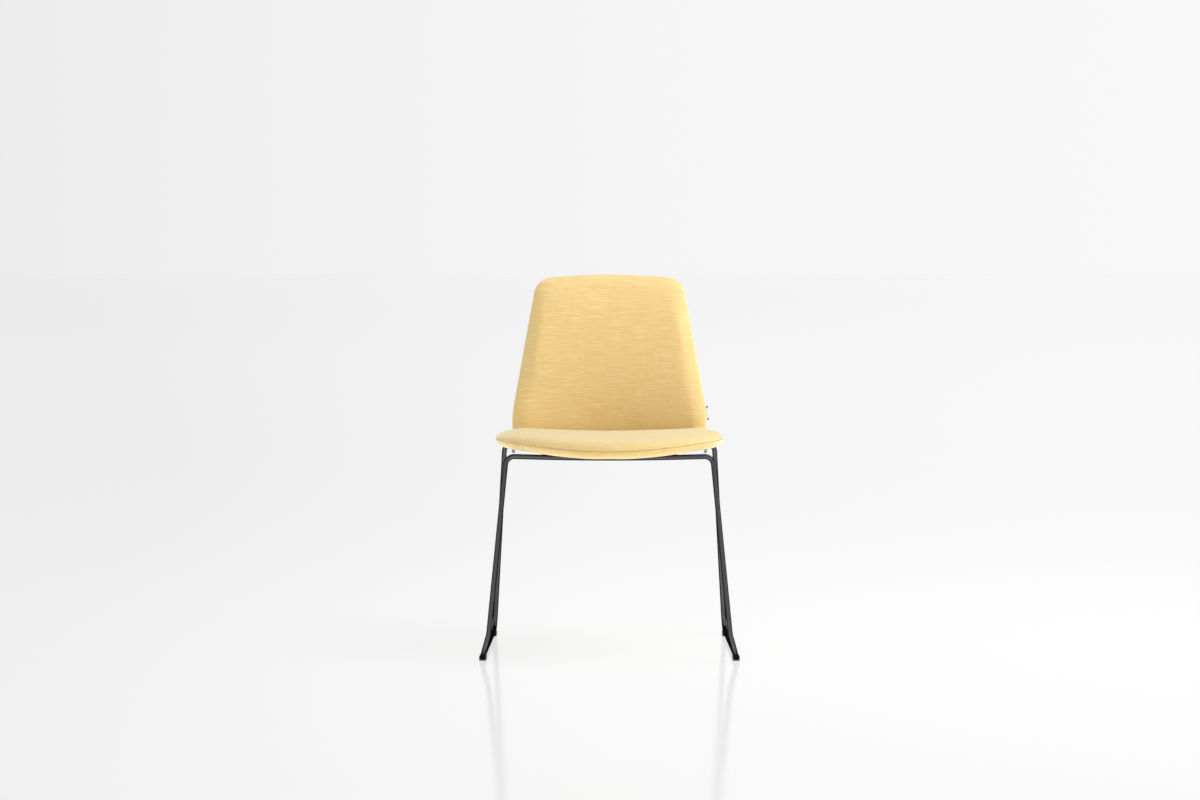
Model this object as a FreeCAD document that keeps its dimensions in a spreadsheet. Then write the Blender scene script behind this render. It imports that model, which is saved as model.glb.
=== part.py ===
"""Sled base visitor chair: a bent rod frame under an upholstered plywood shell.

Millimetres, +Z up, the chair faces -Y, the origin is on the floor under the middle of the chair.
"""
import FreeCAD, Part
import Sketcher
import math
import os

Vector = FreeCAD.Vector
Placement = FreeCAD.Placement
Rotation = FreeCAD.Rotation
LEFT_TO_RIGHT = Vector(1, 0, 0)
UP = Vector(0, 0, 1)
FORWARD = Vector(0, -1, 0)

# Driving dimensions. Names ending in _setback are measured backwards from the front foot corner.
SIZES = {
    "rod frame": {
        "front_foot_y": -249.3,
        "rod_diameter": 11,
        "rod_bend_radius": 28,
        "front_bar_half": 221.3,
        "front_bar_height": 433,
        "front_bar_bow": 3,
        "front_bar_setback": 81,
        "kink_half": 256.8,
        "kink_height": 58.6,
        "kink_radius": 60,
        "front_foot_half": 270.7,
        "rear_foot_half": 263,
        "runner_length": 501,
        "rear_bar_half": 235.5,
        "rear_bar_height": 441,
        "rear_bar_setback": 390,
    },
    "glides": {
        "glide_sole": 3,
        "glide_width": 15,
        "glide_length": 32,
        "glide_lip": 1,
        "glide_clearance": 0.1,
        "glide_edge": 1.2,
        "front_glide_setback": 38,
        "rear_glide_setback": 450,
    },
    "seat rails": {
        "rail_x": 130,
        "rail_width": 30,
        "rail_thickness": 4,
        "rail_rise": 1.7,
        "rail_rear_inset": 4,
        "rail_pad_gap": 0.4,
    },
    "fasteners": {
        "front_screw_setback": 136,
        "rear_screw_setback": 326,
        "screw_diameter": 6,
        "screw_length": 28,
        "screw_head_diameter": 11,
        "screw_head_height": 3.6,
        "screw_hole": 6.6,
        "washer_diameter": 14,
        "washer_thickness": 1.6,
        "sleeve_diameter": 16,
        "nut_flange_diameter": 19,
        "nut_flange_thickness": 1.5,
        "nut_barrel_diameter": 8,
        "nut_barrel_length": 6.2,
        "fastener_clearance": 0.1,
    },
    "shell": {
        "seat_front_setback": 8,
        "flat_setback": 77,
        "lip_drop": 6,
        "shell_bend_setback": 356,
        "shell_bend_radius": 45,
        "recline": 8,
        "back_curve_radius": 1800,
        "dish_radius": 2600,
        "ply_thickness": 9,
        "ply_inset": 12,
    },
    "outlines": {
        "seat_half": 248.5,
        "seat_widest_setback": 216,
        "seat_front_radius": 300,
        "seat_corner_radius": 130,
        "seat_side_radius": 246.6,
        "waist_radius": 90,
        "back_height": 367.5,
        "back_widest_height": 38,
        "back_side_radius": 250,
        "back_taper": 10,
        "back_top_radius": 1440,
        "back_corner_radius": 42,
    },
    "upholstery": {
        "seat_pad": 19,
        "seat_crown_radius": 3600,
        "seat_bevel": 9,
        "back_pad": 17,
        "back_hollow_radius": 1200,
        "back_bevel": 9.5,
        "base_pad": 16.5,
        "base_bevel": 8,
        "rear_pad": 12,
        "rear_bevel": 6,
        "cover_thickness": 1.2,
        "layer_gap": 0.2,
        "tab_height": 31,
        "tab_reach": 6,
        "tab_thickness": 1.4,
        "buffer_side_setback": 41.5,
        "buffer_setback": 114,
        "buffer_diameter": 7,
        "buffer_reach": 6.5,
    },
}

doc = FreeCAD.newDocument("sled_base_visitor_chair")
sheet = doc.addObject("Spreadsheet::Sheet", "sizes")


def fill_sheet():
    """Write every driving dimension into the sheet, one row each, and name its cell."""
    row = 1
    for group, values in SIZES.items():
        sheet.set("A%d" % row, group)
        row += 1
        for name, value in values.items():
            sheet.set("A%d" % row, name.replace("_", " "))
            sheet.set("B%d" % row, str(value))
            sheet.setAlias("B%d" % row, name)
            row += 1
    doc.recompute()


def size(name):
    """The value of a named cell."""
    return float(sheet.get(name))


def bind(target, **expressions):
    """Tie properties of an object to expressions over the sheet's named cells."""
    for name, expression in expressions.items():
        target.setExpression(name, expression)
    return target


def solid_feature(name, shape):
    """A document object that holds a shape worked out from the sheet."""
    feature = doc.addObject("Part::Feature", name)
    feature.Shape = shape
    return feature


def boolean(kind, name, base, tool):
    """Part::Cut, Part::Common or Part::Fuse of two objects."""
    result = doc.addObject("Part::" + kind, name)
    result.Base = base
    result.Tool = tool
    doc.recompute()
    return result


def fused(name, pieces):
    """Several objects as one compound of separate solids."""
    group = doc.addObject("Part::Compound", name)
    group.Links = pieces
    doc.recompute()
    return group


fill_sheet()

# Places that follow from the driving dimensions.
FRONT = size("front_foot_y")
ROD_RADIUS = size("rod_diameter") / 2
ROD_FLOOR_HEIGHT = ROD_RADIUS + size("glide_sole")
FRONT_BAR_Y = FRONT + size("front_bar_setback")
REAR_BAR_Y = FRONT + size("rear_bar_setback")
FLAT_Y = FRONT + size("flat_setback")
BEND_Y = FRONT + size("shell_bend_setback")
SEAT_FRONT_Y = FRONT + size("seat_front_setback")
SCREW_ROWS = (FRONT + size("front_screw_setback"), FRONT + size("rear_screw_setback"))
SIDES = (-1, 1)


def dish(x, radius):
    """How far a hollow of this radius stands above its middle at a distance x from it."""
    return radius - math.sqrt(radius * radius - x * x)


# ---------------------------------------------------------------- rod frame
def rounded_path(corners, radii):
    """A closed wire through the corners, each rounded by a tangent arc of its own radius."""
    count = len(corners)
    arcs = []
    for index, corner in enumerate(corners):
        before = (corners[index - 1] - corner).normalize()
        after = (corners[(index + 1) % count] - corner).normalize()
        half_turn = (math.pi - before.getAngle(after)) / 2
        reach = radii[index] * math.tan(half_turn)
        towards_centre = (before + after).normalize()
        centre = corner + towards_centre * (radii[index] / math.cos(half_turn))
        middle = centre - towards_centre * radii[index]
        arcs.append((corner + before * reach, middle, corner + after * reach))
    edges = []
    for index, (start, middle, end) in enumerate(arcs):
        edges.append(Part.Arc(start, middle, end).toShape())
        following = arcs[(index + 1) % count][0]
        if (following - end).Length > 0.01:
            edges.append(Part.LineSegment(end, following).toShape())
    return Part.Wire(edges)


def front_bar_slope():
    """Slope of the bowed front bar where it enters its end bends."""
    straight_half = size("front_bar_half") - size("rod_bend_radius")
    return 2 * size("front_bar_bow") / straight_half


def front_bar_axis_height(x):
    """Height of the front bar's axis at a distance x from the middle."""
    straight_half = size("front_bar_half") - size("rod_bend_radius")
    lowest = size("front_bar_height") - size("front_bar_bow")
    return lowest + size("front_bar_bow") * (x / straight_half) ** 2


def frame_corners():
    """Corners of the closed rod loop, right side first, with the radius at each."""
    half = size("front_bar_half")
    height = size("front_bar_height")
    foot_rise = (height - size("kink_height")) / (height - ROD_FLOOR_HEIGHT)
    kink_y = FRONT_BAR_Y + (FRONT - FRONT_BAR_Y) * foot_rise
    bend = size("rod_bend_radius")
    right = [
        (Vector(half, FRONT_BAR_Y, height), bend),
        (Vector(size("kink_half"), kink_y, size("kink_height")), size("kink_radius")),
        (Vector(size("front_foot_half"), FRONT, ROD_FLOOR_HEIGHT), bend),
        (Vector(size("rear_foot_half"), FRONT + size("runner_length"), ROD_FLOOR_HEIGHT), bend),
        (Vector(size("rear_bar_half"), REAR_BAR_Y, size("rear_bar_height")), bend),
    ]
    left = [(Vector(-corner.x, corner.y, corner.z), radius) for corner, radius in reversed(right)]
    slope = front_bar_slope()
    bow_radius = 0.97 * (half - bend) / slope
    bow = [(Vector(0, FRONT_BAR_Y, height - slope * half), bow_radius)]
    return right + left + bow


def make_frame():
    """One rod bent into a closed loop: front bar, legs, runners, rear legs and rear bar."""
    corners = frame_corners()
    path = rounded_path([corner for corner, _ in corners], [radius for _, radius in corners])
    start = path.OrderedEdges[0]
    point = start.valueAt(start.FirstParameter)
    tangent = start.tangentAt(start.FirstParameter)
    section = Part.Wire(Part.makeCircle(ROD_RADIUS, point, tangent))
    rod = path.makePipeShell([section], True, False)
    return solid_feature("sled_frame", rod)


# ---------------------------------------------------------------- glides
def glide_profile(body):
    """The saddle's section: a flat sole with two walls that clasp the rod past its middle."""
    plane = [item for item in body.Origin.OriginFeatures if item.Role == "XZ_Plane"][0]
    sketch = body.newObject("Sketcher::SketchObject", body.Name + "_profile")
    sketch.AttachmentSupport = [(plane, "")]
    sketch.MapMode = "FlatFace"
    half = size("glide_width") / 2
    top = ROD_FLOOR_HEIGHT + size("glide_lip")
    edge = size("glide_edge")
    inner = ROD_RADIUS + size("glide_clearance")
    lip_angle = math.asin(size("glide_lip") / inner)
    lip_x = inner * math.cos(lip_angle)
    corners = [
        Vector(lip_x, top, 0), Vector(half, top, 0), Vector(half, edge, 0), Vector(half - edge, 0, 0),
        Vector(edge - half, 0, 0), Vector(-half, edge, 0), Vector(-half, top, 0), Vector(-lip_x, top, 0),
    ]
    for start, end in zip(corners, corners[1:]):
        sketch.addGeometry(Part.LineSegment(start, end), False)
    circle = Part.Circle(Vector(0, ROD_FLOOR_HEIGHT, 0), UP, inner)
    sketch.addGeometry(Part.ArcOfCircle(circle, math.pi - lip_angle, 2 * math.pi + lip_angle), False)
    return sketch


def make_glide(name, side, setback):
    """A snap-on glide under a runner, turned to lie along it."""
    body = doc.addObject("PartDesign::Body", name)
    sketch = glide_profile(body)
    pad = body.newObject("PartDesign::Pad", name + "_pad")
    pad.Profile = sketch
    pad.Midplane = True
    bind(pad, Length="sizes.glide_length")
    share = setback / size("runner_length")
    x = size("front_foot_half") + (size("rear_foot_half") - size("front_foot_half")) * share
    toe = math.degrees(math.atan2(size("front_foot_half") - size("rear_foot_half"), size("runner_length")))
    body.Placement = Placement(Vector(side * x, FRONT + setback, 0), Rotation(UP, side * toe))
    doc.recompute()
    return body


# ---------------------------------------------------------------- seat rails
RAIL_TOP = front_bar_axis_height(size("rail_x")) + ROD_RADIUS + size("rail_rise")
RAIL_BOTTOM = RAIL_TOP - size("rail_thickness")
RAIL_INNER_X = size("rail_x") - size("rail_width") / 2
SHELL_LEVEL = RAIL_TOP + size("rail_pad_gap") + size("base_pad") - dish(RAIL_INNER_X, size("dish_radius"))


def make_rail(name, side, frame):
    """A flat steel rail from bar to bar, its ends coped to the rods that it is welded to."""
    body = doc.addObject("PartDesign::Body", name + "_blank")
    plane = [item for item in body.Origin.OriginFeatures if item.Role == "XY_Plane"][0]
    sketch = body.newObject("Sketcher::SketchObject", name + "_plan")
    sketch.AttachmentSupport = [(plane, "")]
    sketch.MapMode = "FlatFace"
    half = size("rail_width") / 2
    rear_y = REAR_BAR_Y - size("rail_rear_inset")
    corners = [
        Vector(-half, FRONT_BAR_Y, 0), Vector(half, FRONT_BAR_Y, 0),
        Vector(half, rear_y, 0), Vector(-half, rear_y, 0),
    ]
    for start, end in zip(corners, corners[1:] + corners[:1]):
        sketch.addGeometry(Part.LineSegment(start, end), False)
    for screw_y in SCREW_ROWS:
        hole = Part.Circle(Vector(0, screw_y, 0), UP, size("screw_hole") / 2)
        circle = sketch.addGeometry(hole, False)
        radius = sketch.addConstraint(Sketcher.Constraint("Radius", circle, size("screw_hole") / 2))
        sketch.setExpression("Constraints[%d]" % radius, "sizes.screw_hole / 2")
    pad = body.newObject("PartDesign::Pad", name + "_pad")
    pad.Profile = sketch
    bind(pad, Length="sizes.rail_thickness")
    body.Placement = Placement(Vector(side * size("rail_x"), 0, RAIL_BOTTOM), Rotation())
    doc.recompute()
    return boolean("Cut", name, body, frame)


# ---------------------------------------------------------------- shell layers
BACK_ANGLE = math.radians(90 - size("recline"))
BACK_FOOT = Vector(
    0,
    BEND_Y + size("shell_bend_radius") * math.sin(BACK_ANGLE),
    SHELL_LEVEL + size("shell_bend_radius") * (1 - math.cos(BACK_ANGLE)),
)
SIDE_AND_WAIST = size("seat_side_radius") + size("waist_radius")
SIDE_RUN = BEND_Y - FRONT - size("seat_widest_setback")
WAIST_HALF = size("seat_half") - SIDE_AND_WAIST + math.sqrt(SIDE_AND_WAIST ** 2 - SIDE_RUN ** 2)
BLANK_HALF = size("seat_half") + size("ply_inset")
BLANK_END = size("shell_bend_radius") * 4 / 3
OVERRUN = BLANK_END
BEND_SECTORS = 5


def across(middle, normal, offset, radius, half):
    """The two arcs, left and right, of a hollow across the chair, square to a normal."""
    centre = middle + normal * radius
    own_radius = radius - offset
    sweep = math.asin(half / own_radius)

    def point(turn):
        return centre + LEFT_TO_RIGHT * (own_radius * math.sin(turn)) - normal * (own_radius * math.cos(turn))

    return [
        Part.Arc(point(start), point(start + sweep / 2), point(start + sweep)).toShape()
        for start in (-sweep, 0)
    ]


def section(middle, angle, low, low_radius, high, high_radius, half):
    """The face between two hollows, square to the shell's side profile."""
    normal = Vector(0, -math.sin(angle), math.cos(angle))
    lower = across(middle, normal, low, low_radius, half)
    upper = across(middle, normal, high, high_radius, half)
    ends = [
        Part.LineSegment(lower[end].Vertexes[end].Point, upper[end].Vertexes[end].Point).toShape()
        for end in (0, 1)
    ]
    return Part.Face(Part.Wire(Part.__sortEdges__(lower + upper + ends)))


def layer(low, high, low_radius, high_radius, stretches, half=BLANK_HALF):
    """A layer of the shell between two offsets from its middle surface, along the named stretches.

    The stretches are the front lip, the flat seat, its overrun under the back, the bend, the back
    and the back's straight run down behind the seat.
    """
    def slab(middle, angle):
        return section(middle, angle, low, low_radius, high, high_radius, half)

    bend_radius = size("shell_bend_radius")
    bend_axis = Vector(0, BEND_Y, SHELL_LEVEL + bend_radius)
    sector = BACK_ANGLE / BEND_SECTORS
    flat = slab(Vector(0, FLAT_Y, SHELL_LEVEL), 0)
    end = slab(Vector(0, BEND_Y, SHELL_LEVEL), 0)
    back = slab(BACK_FOOT, BACK_ANGLE)
    lip_run = Vector(0, SEAT_FRONT_Y - FLAT_Y, -size("lip_drop")) * 1.25
    curve = size("back_curve_radius")
    curve_axis = BACK_FOOT + Vector(0, math.sin(BACK_ANGLE), -math.cos(BACK_ANGLE)) * curve
    curve_turn = -math.degrees((size("back_height") + BLANK_END) / curve)
    down = Vector(0, -math.cos(BACK_ANGLE), -math.sin(BACK_ANGLE)) * BLANK_END

    def bend_sector(index):
        angle = index * sector
        start = bend_axis + Vector(0, math.sin(angle), -math.cos(angle)) * bend_radius
        return slab(start, angle).revolve(bend_axis, LEFT_TO_RIGHT, math.degrees(sector))

    makers = {
        "lip": lambda: [flat.extrude(lip_run)],
        "seat": lambda: [flat.extrude(Vector(0, BEND_Y - FLAT_Y, 0))],
        "overrun": lambda: [end.extrude(Vector(0, OVERRUN, 0))],
        "bend": lambda: [bend_sector(index) for index in range(BEND_SECTORS)],
        "back": lambda: [back.revolve(curve_axis, LEFT_TO_RIGHT, curve_turn)],
        "down": lambda: [back.extrude(down)],
    }
    pieces = [piece for name in stretches for piece in makers[name]()]
    return pieces[0].fuse(pieces[1:]).Solids[0]


# ---------------------------------------------------------------- outlines
def towards(centre, point, radius):
    """The point of a circle that lies in the direction of another point."""
    return centre + (point - centre).normalize() * radius


def arc_between(centre, radius, start, end):
    """An arc about a centre, by its shorter way round."""
    middle = towards(centre, (start + end) * 0.5, radius)
    return Part.Arc(start, middle, end).toShape()


def inner_tangent_centre(first, first_radius, second, second_radius, radius):
    """Centre of a circle that touches two larger circles from inside, on their outer side."""
    reach = first_radius - radius
    other = second_radius - radius
    span = (second - first).Length
    along = (reach * reach - other * other + span * span) / (2 * span)
    aside = math.sqrt(reach * reach - along * along)
    direction = (second - first).normalize()
    across = Vector(-direction.y, direction.x, 0)
    return max((first + direction * along + across * side * aside for side in SIDES), key=lambda p: p.x)


def mirrored(edges):
    """The edges and their mirror images across the middle plane."""
    return edges + [edge.mirror(Vector(), LEFT_TO_RIGHT) for edge in edges]


def seat_plan(inset):
    """Plan of the seat: a round front, full corners and sides that draw in to the waist."""
    widest_y = FRONT + size("seat_widest_setback")
    side_radius = size("seat_side_radius")
    front_radius = size("seat_front_radius")
    corner_radius = size("seat_corner_radius")
    front_centre = Vector(0, SEAT_FRONT_Y + front_radius, 0)
    side_centre = Vector(size("seat_half") - side_radius, widest_y, 0)
    waist_centre = Vector(WAIST_HALF + size("waist_radius"), BEND_Y, 0)
    corner_centre = inner_tangent_centre(front_centre, front_radius, side_centre, side_radius, corner_radius)
    front_arc = front_radius - inset
    corner_arc = corner_radius - inset
    side_arc = side_radius - inset
    waist_arc = size("waist_radius") + inset
    nose = front_centre + Vector(0, -front_arc, 0)
    front_end = towards(front_centre, corner_centre, front_arc)
    side_start = towards(side_centre, corner_centre, side_arc)
    side_end = towards(side_centre, waist_centre, side_arc)
    waist = waist_centre - Vector(waist_arc, 0, 0)
    rear = Vector(waist.x, BEND_Y + 3 * BLANK_END, 0)
    edges = mirrored([
        arc_between(front_centre, front_arc, nose, front_end),
        arc_between(corner_centre, corner_arc, front_end, side_start),
        arc_between(side_centre, side_arc, side_start, side_end),
        arc_between(waist_centre, waist_arc, side_end, waist),
        Part.LineSegment(waist, rear).toShape(),
    ])
    edges.append(Part.LineSegment(rear, Vector(-rear.x, rear.y, 0)).toShape())
    return Part.Face(Part.Wire(Part.__sortEdges__(edges)))


def back_elevation(inset):
    """Front elevation of the back, drawn flat: full low down, tapering to rounded top corners."""
    half = WAIST_HALF - inset
    widest = SHELL_LEVEL + size("back_widest_height")
    side_radius = size("back_side_radius") - inset
    taper = math.radians(size("back_taper"))
    top = SHELL_LEVEL + size("back_height") - inset
    top_radius = size("back_top_radius") - inset
    corner_radius = size("back_corner_radius") - inset
    side_centre = Vector(half - side_radius, widest, 0)
    side_start = Vector(half, widest, 0)
    inward = Vector(-math.cos(taper), -math.sin(taper), 0)
    upward = Vector(-math.sin(taper), math.cos(taper), 0)
    side_end = side_centre - inward * side_radius
    top_centre = Vector(0, top - top_radius, 0)
    to_path = side_end + inward * corner_radius - top_centre
    along = to_path.dot(upward)
    clear = to_path.dot(to_path) - (top_radius - corner_radius) ** 2
    corner_centre = top_centre + to_path + upward * (math.sqrt(along * along - clear) - along)
    corner_start = corner_centre - inward * corner_radius
    corner_end = towards(top_centre, corner_centre, top_radius)
    foot = Vector(half, SHELL_LEVEL - BLANK_END, 0)
    edges = mirrored([
        arc_between(top_centre, top_radius, Vector(0, top, 0), corner_end),
        arc_between(corner_centre, corner_radius, corner_end, corner_start),
        Part.LineSegment(corner_start, side_end).toShape(),
        arc_between(side_centre, side_radius, side_end, side_start),
        Part.LineSegment(side_start, foot).toShape(),
    ])
    edges.append(Part.LineSegment(foot, Vector(-half, foot.y, 0)).toShape())
    return Part.Face(Part.Wire(Part.__sortEdges__(edges)))


def plan_block(name, inset):
    """The seat's plan as a tall block."""
    outline = solid_feature(name + "_plan", seat_plan(inset))
    block = doc.addObject("Part::Extrusion", name + "_plan_block")
    block.Base = outline
    block.DirMode = "Custom"
    block.Dir = UP
    block.Solid = True
    block.LengthFwd = SHELL_LEVEL + 4 * BLANK_END
    doc.recompute()
    return block


def elevation_block(name, inset):
    """The back's elevation as a deep block."""
    outline = solid_feature(name + "_elevation", back_elevation(inset))
    outline.Placement = Placement(Vector(), Rotation(LEFT_TO_RIGHT, 90))
    block = doc.addObject("Part::Extrusion", name + "_elevation_block")
    block.Base = outline
    block.DirMode = "Custom"
    block.Dir = Vector(0, 1, 0)
    block.Solid = True
    block.LengthFwd = BEND_Y + 6 * BLANK_END
    doc.recompute()
    return block


def rim_edges(shape, facing, keep):
    """Numbers of the edges round the faces that look a given way, where keep(middle) allows."""
    owners = {}
    for face in shape.Faces:
        first_u, last_u, first_v, last_v = face.ParameterRange
        normal = face.normalAt((first_u + last_u) / 2, (first_v + last_v) / 2)
        if normal.dot(facing) > 0.5:
            for edge in face.Edges:
                owners.setdefault(edge.hashCode(), []).append(edge)
    lone = [edges[0] for edges in owners.values() if len(edges) == 1]
    chosen = [edge for edge in lone if keep(edge.CenterOfMass)]
    return [
        number for number, edge in enumerate(shape.Edges, 1)
        if any(edge.isSame(rim) for rim in chosen)
    ]


def bevelled(name, base, facing, keep, leg):
    """An object with the rim of one side bevelled."""
    result = doc.addObject("Part::Chamfer", name)
    result.Base = base
    result.Edges = [(number, leg, leg) for number in rim_edges(base.Shape, facing, keep)]
    doc.recompute()
    return result


BELOW_MIDDLE = -5


def seat_block(name, thickness, inset, leg):
    """The seat upholstery as a bevelled block, to its rear edge behind the back's face."""
    blank = solid_feature(name + "_blank", layer(
        BELOW_MIDDLE, thickness, size("dish_radius"), size("seat_crown_radius"), ("lip", "seat", "overrun")))
    trimmed = boolean("Common", name + "_trimmed", blank, plan_block(name, inset))
    rear = BEND_Y + OVERRUN
    return bevelled(name + "_block", trimmed, UP, lambda middle: middle.y < rear - 1, leg)


def back_block(name, thickness, inset, leg):
    """The back upholstery as a bevelled block, down to the shell's bend."""
    blank = solid_feature(name + "_blank", layer(
        BELOW_MIDDLE, thickness, size("dish_radius"), size("back_hollow_radius"), ("back", "down")))
    trimmed = boolean("Common", name + "_trimmed", blank, elevation_block(name, inset))
    lowest = BACK_FOOT.z - 0.8 * BLANK_END
    return bevelled(name + "_block", trimmed, FORWARD, lambda middle: middle.z > lowest, leg)


def make_shell():
    """The moulded plywood shell, drilled for its nuts."""
    half = size("ply_thickness") / 2
    dish_radius = size("dish_radius")
    blank = solid_feature("shell_blank", layer(
        -half, half, dish_radius, dish_radius, ("lip", "seat", "bend", "back")))
    inset = size("ply_inset")
    seat = boolean("Common", "shell_seat", blank, plan_block("shell", inset))
    front = doc.addObject("Part::Box", "shell_front_zone")
    front.Length = 4 * BLANK_HALF
    front.Width = BEND_Y - FRONT
    front.Height = 2 * SHELL_LEVEL
    front.Placement = Placement(Vector(-2 * BLANK_HALF, FRONT, 0), Rotation())
    doc.recompute()
    seat = boolean("Common", "shell_seat_part", seat, front)
    back = boolean("Common", "shell_back", blank, elevation_block("shell", inset))
    back = boolean("Cut", "shell_back_part", back, front)
    return boolean("Fuse", "shell_whole", seat, back)


# ---------------------------------------------------------------- fasteners
NUT_TOP = (
    SHELL_LEVEL + size("ply_thickness") / 2
    + dish(size("rail_x") - size("nut_flange_diameter") / 2, size("dish_radius"))
)
NUT_SEAT = NUT_TOP - size("nut_flange_thickness")
SCREW_SEAT = RAIL_BOTTOM - size("washer_thickness")


def at_screws(name, maker):
    """A piece at each of the four screws, as one compound of separate solids."""
    pieces = []
    for side in SIDES:
        for row, screw_y in enumerate(SCREW_ROWS):
            own_name = "%s_%s_%d" % (name, "left" if side < 0 else "right", row)
            piece = maker(own_name)
            lift = piece.Placement.Base.z
            piece.Placement = Placement(Vector(side * size("rail_x"), screw_y, lift), Rotation())
            pieces.append(piece)
    return fused(name, pieces)


def cylinder(name, radius, height, lift):
    """A cylinder bound to the sheet, standing at a height over the floor."""
    piece = doc.addObject("Part::Cylinder", name)
    bind(piece, Radius=radius, Height=height)
    piece.Placement = Placement(Vector(0, 0, lift), Rotation())
    return piece


def ring(name, outer, inner, height, lift):
    """A round ring bound to the sheet."""
    doc.recompute()
    disc = cylinder(name + "_disc", outer, height, 0)
    bore = cylinder(name + "_bore", inner, height, 0)
    piece = boolean("Cut", name, disc, bore)
    piece.Placement = Placement(Vector(0, 0, lift), Rotation())
    return piece


def screw(name):
    """A button head screw, pushed up through washer, rail, sleeve and nut."""
    head = cylinder(name + "_head", "sizes.screw_head_diameter / 2", "sizes.screw_head_height", 0)
    shank = cylinder(
        name + "_shank", "sizes.screw_diameter / 2 - sizes.fastener_clearance",
        "sizes.screw_length", size("screw_head_height"))
    doc.recompute()
    crown = doc.addObject("Part::Chamfer", name + "_crown")
    crown.Base = head
    lowest = min(range(len(head.Shape.Edges)), key=lambda i: head.Shape.Edges[i].CenterOfMass.z) + 1
    slope = 0.4 * size("screw_head_height")
    crown.Edges = [(lowest, slope, slope)]
    piece = boolean("Fuse", name, crown, shank)
    piece.Placement = Placement(Vector(0, 0, SCREW_SEAT - size("screw_head_height")), Rotation())
    return piece


def washer(name):
    """A plain washer between screw head and rail."""
    return ring(
        name, "sizes.washer_diameter / 2", "sizes.screw_hole / 2", "sizes.washer_thickness", SCREW_SEAT)


def tee_nut(name):
    """A tee nut: a flange let into the top of the plywood and a barrel down through it."""
    flange = ring(
        name + "_flange", "sizes.nut_flange_diameter / 2",
        "sizes.screw_diameter / 2", "sizes.nut_flange_thickness", size("nut_barrel_length"))
    barrel = ring(
        name + "_barrel", "sizes.nut_barrel_diameter / 2",
        "sizes.screw_diameter / 2", "sizes.nut_barrel_length", 0)
    piece = boolean("Fuse", name, flange, barrel)
    piece.Placement = Placement(Vector(0, 0, NUT_SEAT - size("nut_barrel_length")), Rotation())
    return piece


def nut_pocket(name):
    """What the plywood loses for a tee nut: a hole for the barrel and a recess for the flange."""
    hole = cylinder(
        name + "_hole", "sizes.nut_barrel_diameter / 2 + sizes.fastener_clearance",
        "sizes.ply_thickness * 4", 0)
    recess = cylinder(
        name + "_recess", "sizes.nut_flange_diameter / 2 + sizes.fastener_clearance",
        "sizes.ply_thickness * 2", 2 * size("ply_thickness"))
    piece = boolean("Fuse", name, hole, recess)
    piece.Placement = Placement(Vector(0, 0, NUT_SEAT - 2 * size("ply_thickness")), Rotation())
    return piece


def sleeve(name):
    """A spacer sleeve from the rail to the plywood, through the pad under the seat."""
    return ring(
        name, "sizes.sleeve_diameter / 2", "sizes.screw_hole / 2",
        "sizes.base_pad + sizes.rail_pad_gap", RAIL_TOP)


def sleeve_hole(name):
    """What the pad under the seat loses for a sleeve."""
    return cylinder(
        name, "sizes.sleeve_diameter / 2 + sizes.layer_gap", "sizes.base_pad * 4",
        SHELL_LEVEL - 2 * size("base_pad"))


# ---------------------------------------------------------------- buffers
def buffer_post(name, side, clearance, height):
    """A round post of a height, standing up into the pad under the seat's front corner."""
    post = doc.addObject("Part::Cylinder", name)
    bind(post, Radius="sizes.buffer_diameter / 2 + " + clearance, Height="sizes.buffer_reach + " + height)
    x = size("seat_half") - size("buffer_side_setback")
    foot = SHELL_LEVEL + dish(x, size("dish_radius")) - size("base_pad") - size("buffer_reach")
    post.Placement = Placement(Vector(side * x, FRONT + size("buffer_setback"), foot), Rotation())
    return post


# ---------------------------------------------------------------- the chair
sub_parts = []


def keep(feature, label):
    """Add a finished object to the list of sub-parts under its own label."""
    feature.Label = label
    sub_parts.append(feature)
    return feature


sled_frame = keep(make_frame(), "sled_frame")
for side, side_name in zip(SIDES, ("left", "right")):
    for end_name in ("front", "rear"):
        glide_name = "glide_%s_%s" % (end_name, side_name)
        keep(make_glide(glide_name, side, size(end_name + "_glide_setback")), glide_name)
    keep(make_rail("seat_rail_" + side_name, side, sled_frame), "seat_rail_" + side_name)

DISH = size("dish_radius")
under_middle = solid_feature("under_middle", layer(
    -BLANK_END, 0, DISH, DISH, ("lip", "seat", "bend", "back"), 1.15 * BLANK_HALF))

shell_whole = make_shell()
plywood_shell = boolean("Cut", "plywood_shell", shell_whole, at_screws("nut_pockets", nut_pocket))
keep(plywood_shell, "plywood_shell")

cover = size("cover_thickness")
gap = size("layer_gap")

back_outer = back_block("back_cover", size("back_pad"), 0, size("back_bevel"))
back_inner = back_block("back_lining", size("back_pad") - cover, cover, size("back_bevel"))
back_core = back_block("back_core", size("back_pad") - cover - gap, cover + gap, size("back_bevel"))
back_skin = boolean("Cut", "back_skin", back_outer, back_inner)
back_skin = boolean("Cut", "back_skin_front", back_skin, under_middle)
keep(boolean("Cut", "back_cover", back_skin, shell_whole), "back_cover")
back_filling = boolean("Cut", "back_filling", back_core, under_middle)
keep(boolean("Cut", "back_foam", back_filling, shell_whole), "back_foam")

seat_outer = seat_block("seat_cover", size("seat_pad"), 0, size("seat_bevel"))
seat_inner = seat_block("seat_lining", size("seat_pad") - cover, cover, size("seat_bevel"))
seat_core = seat_block("seat_core", size("seat_pad") - cover - gap, cover + gap, size("seat_bevel"))
seat_skin = boolean("Cut", "seat_skin", seat_outer, seat_inner)
seat_skin = boolean("Cut", "seat_skin_lower", seat_skin, under_middle)
keep(boolean("Cut", "seat_cover", seat_skin, back_outer), "seat_cover")
seat_filling = boolean("Cut", "seat_filling", seat_core, under_middle)
seat_filling = boolean("Cut", "seat_filling_rear", seat_filling, back_outer)
keep(boolean("Cut", "seat_foam", seat_filling, shell_whole), "seat_foam")

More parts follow.
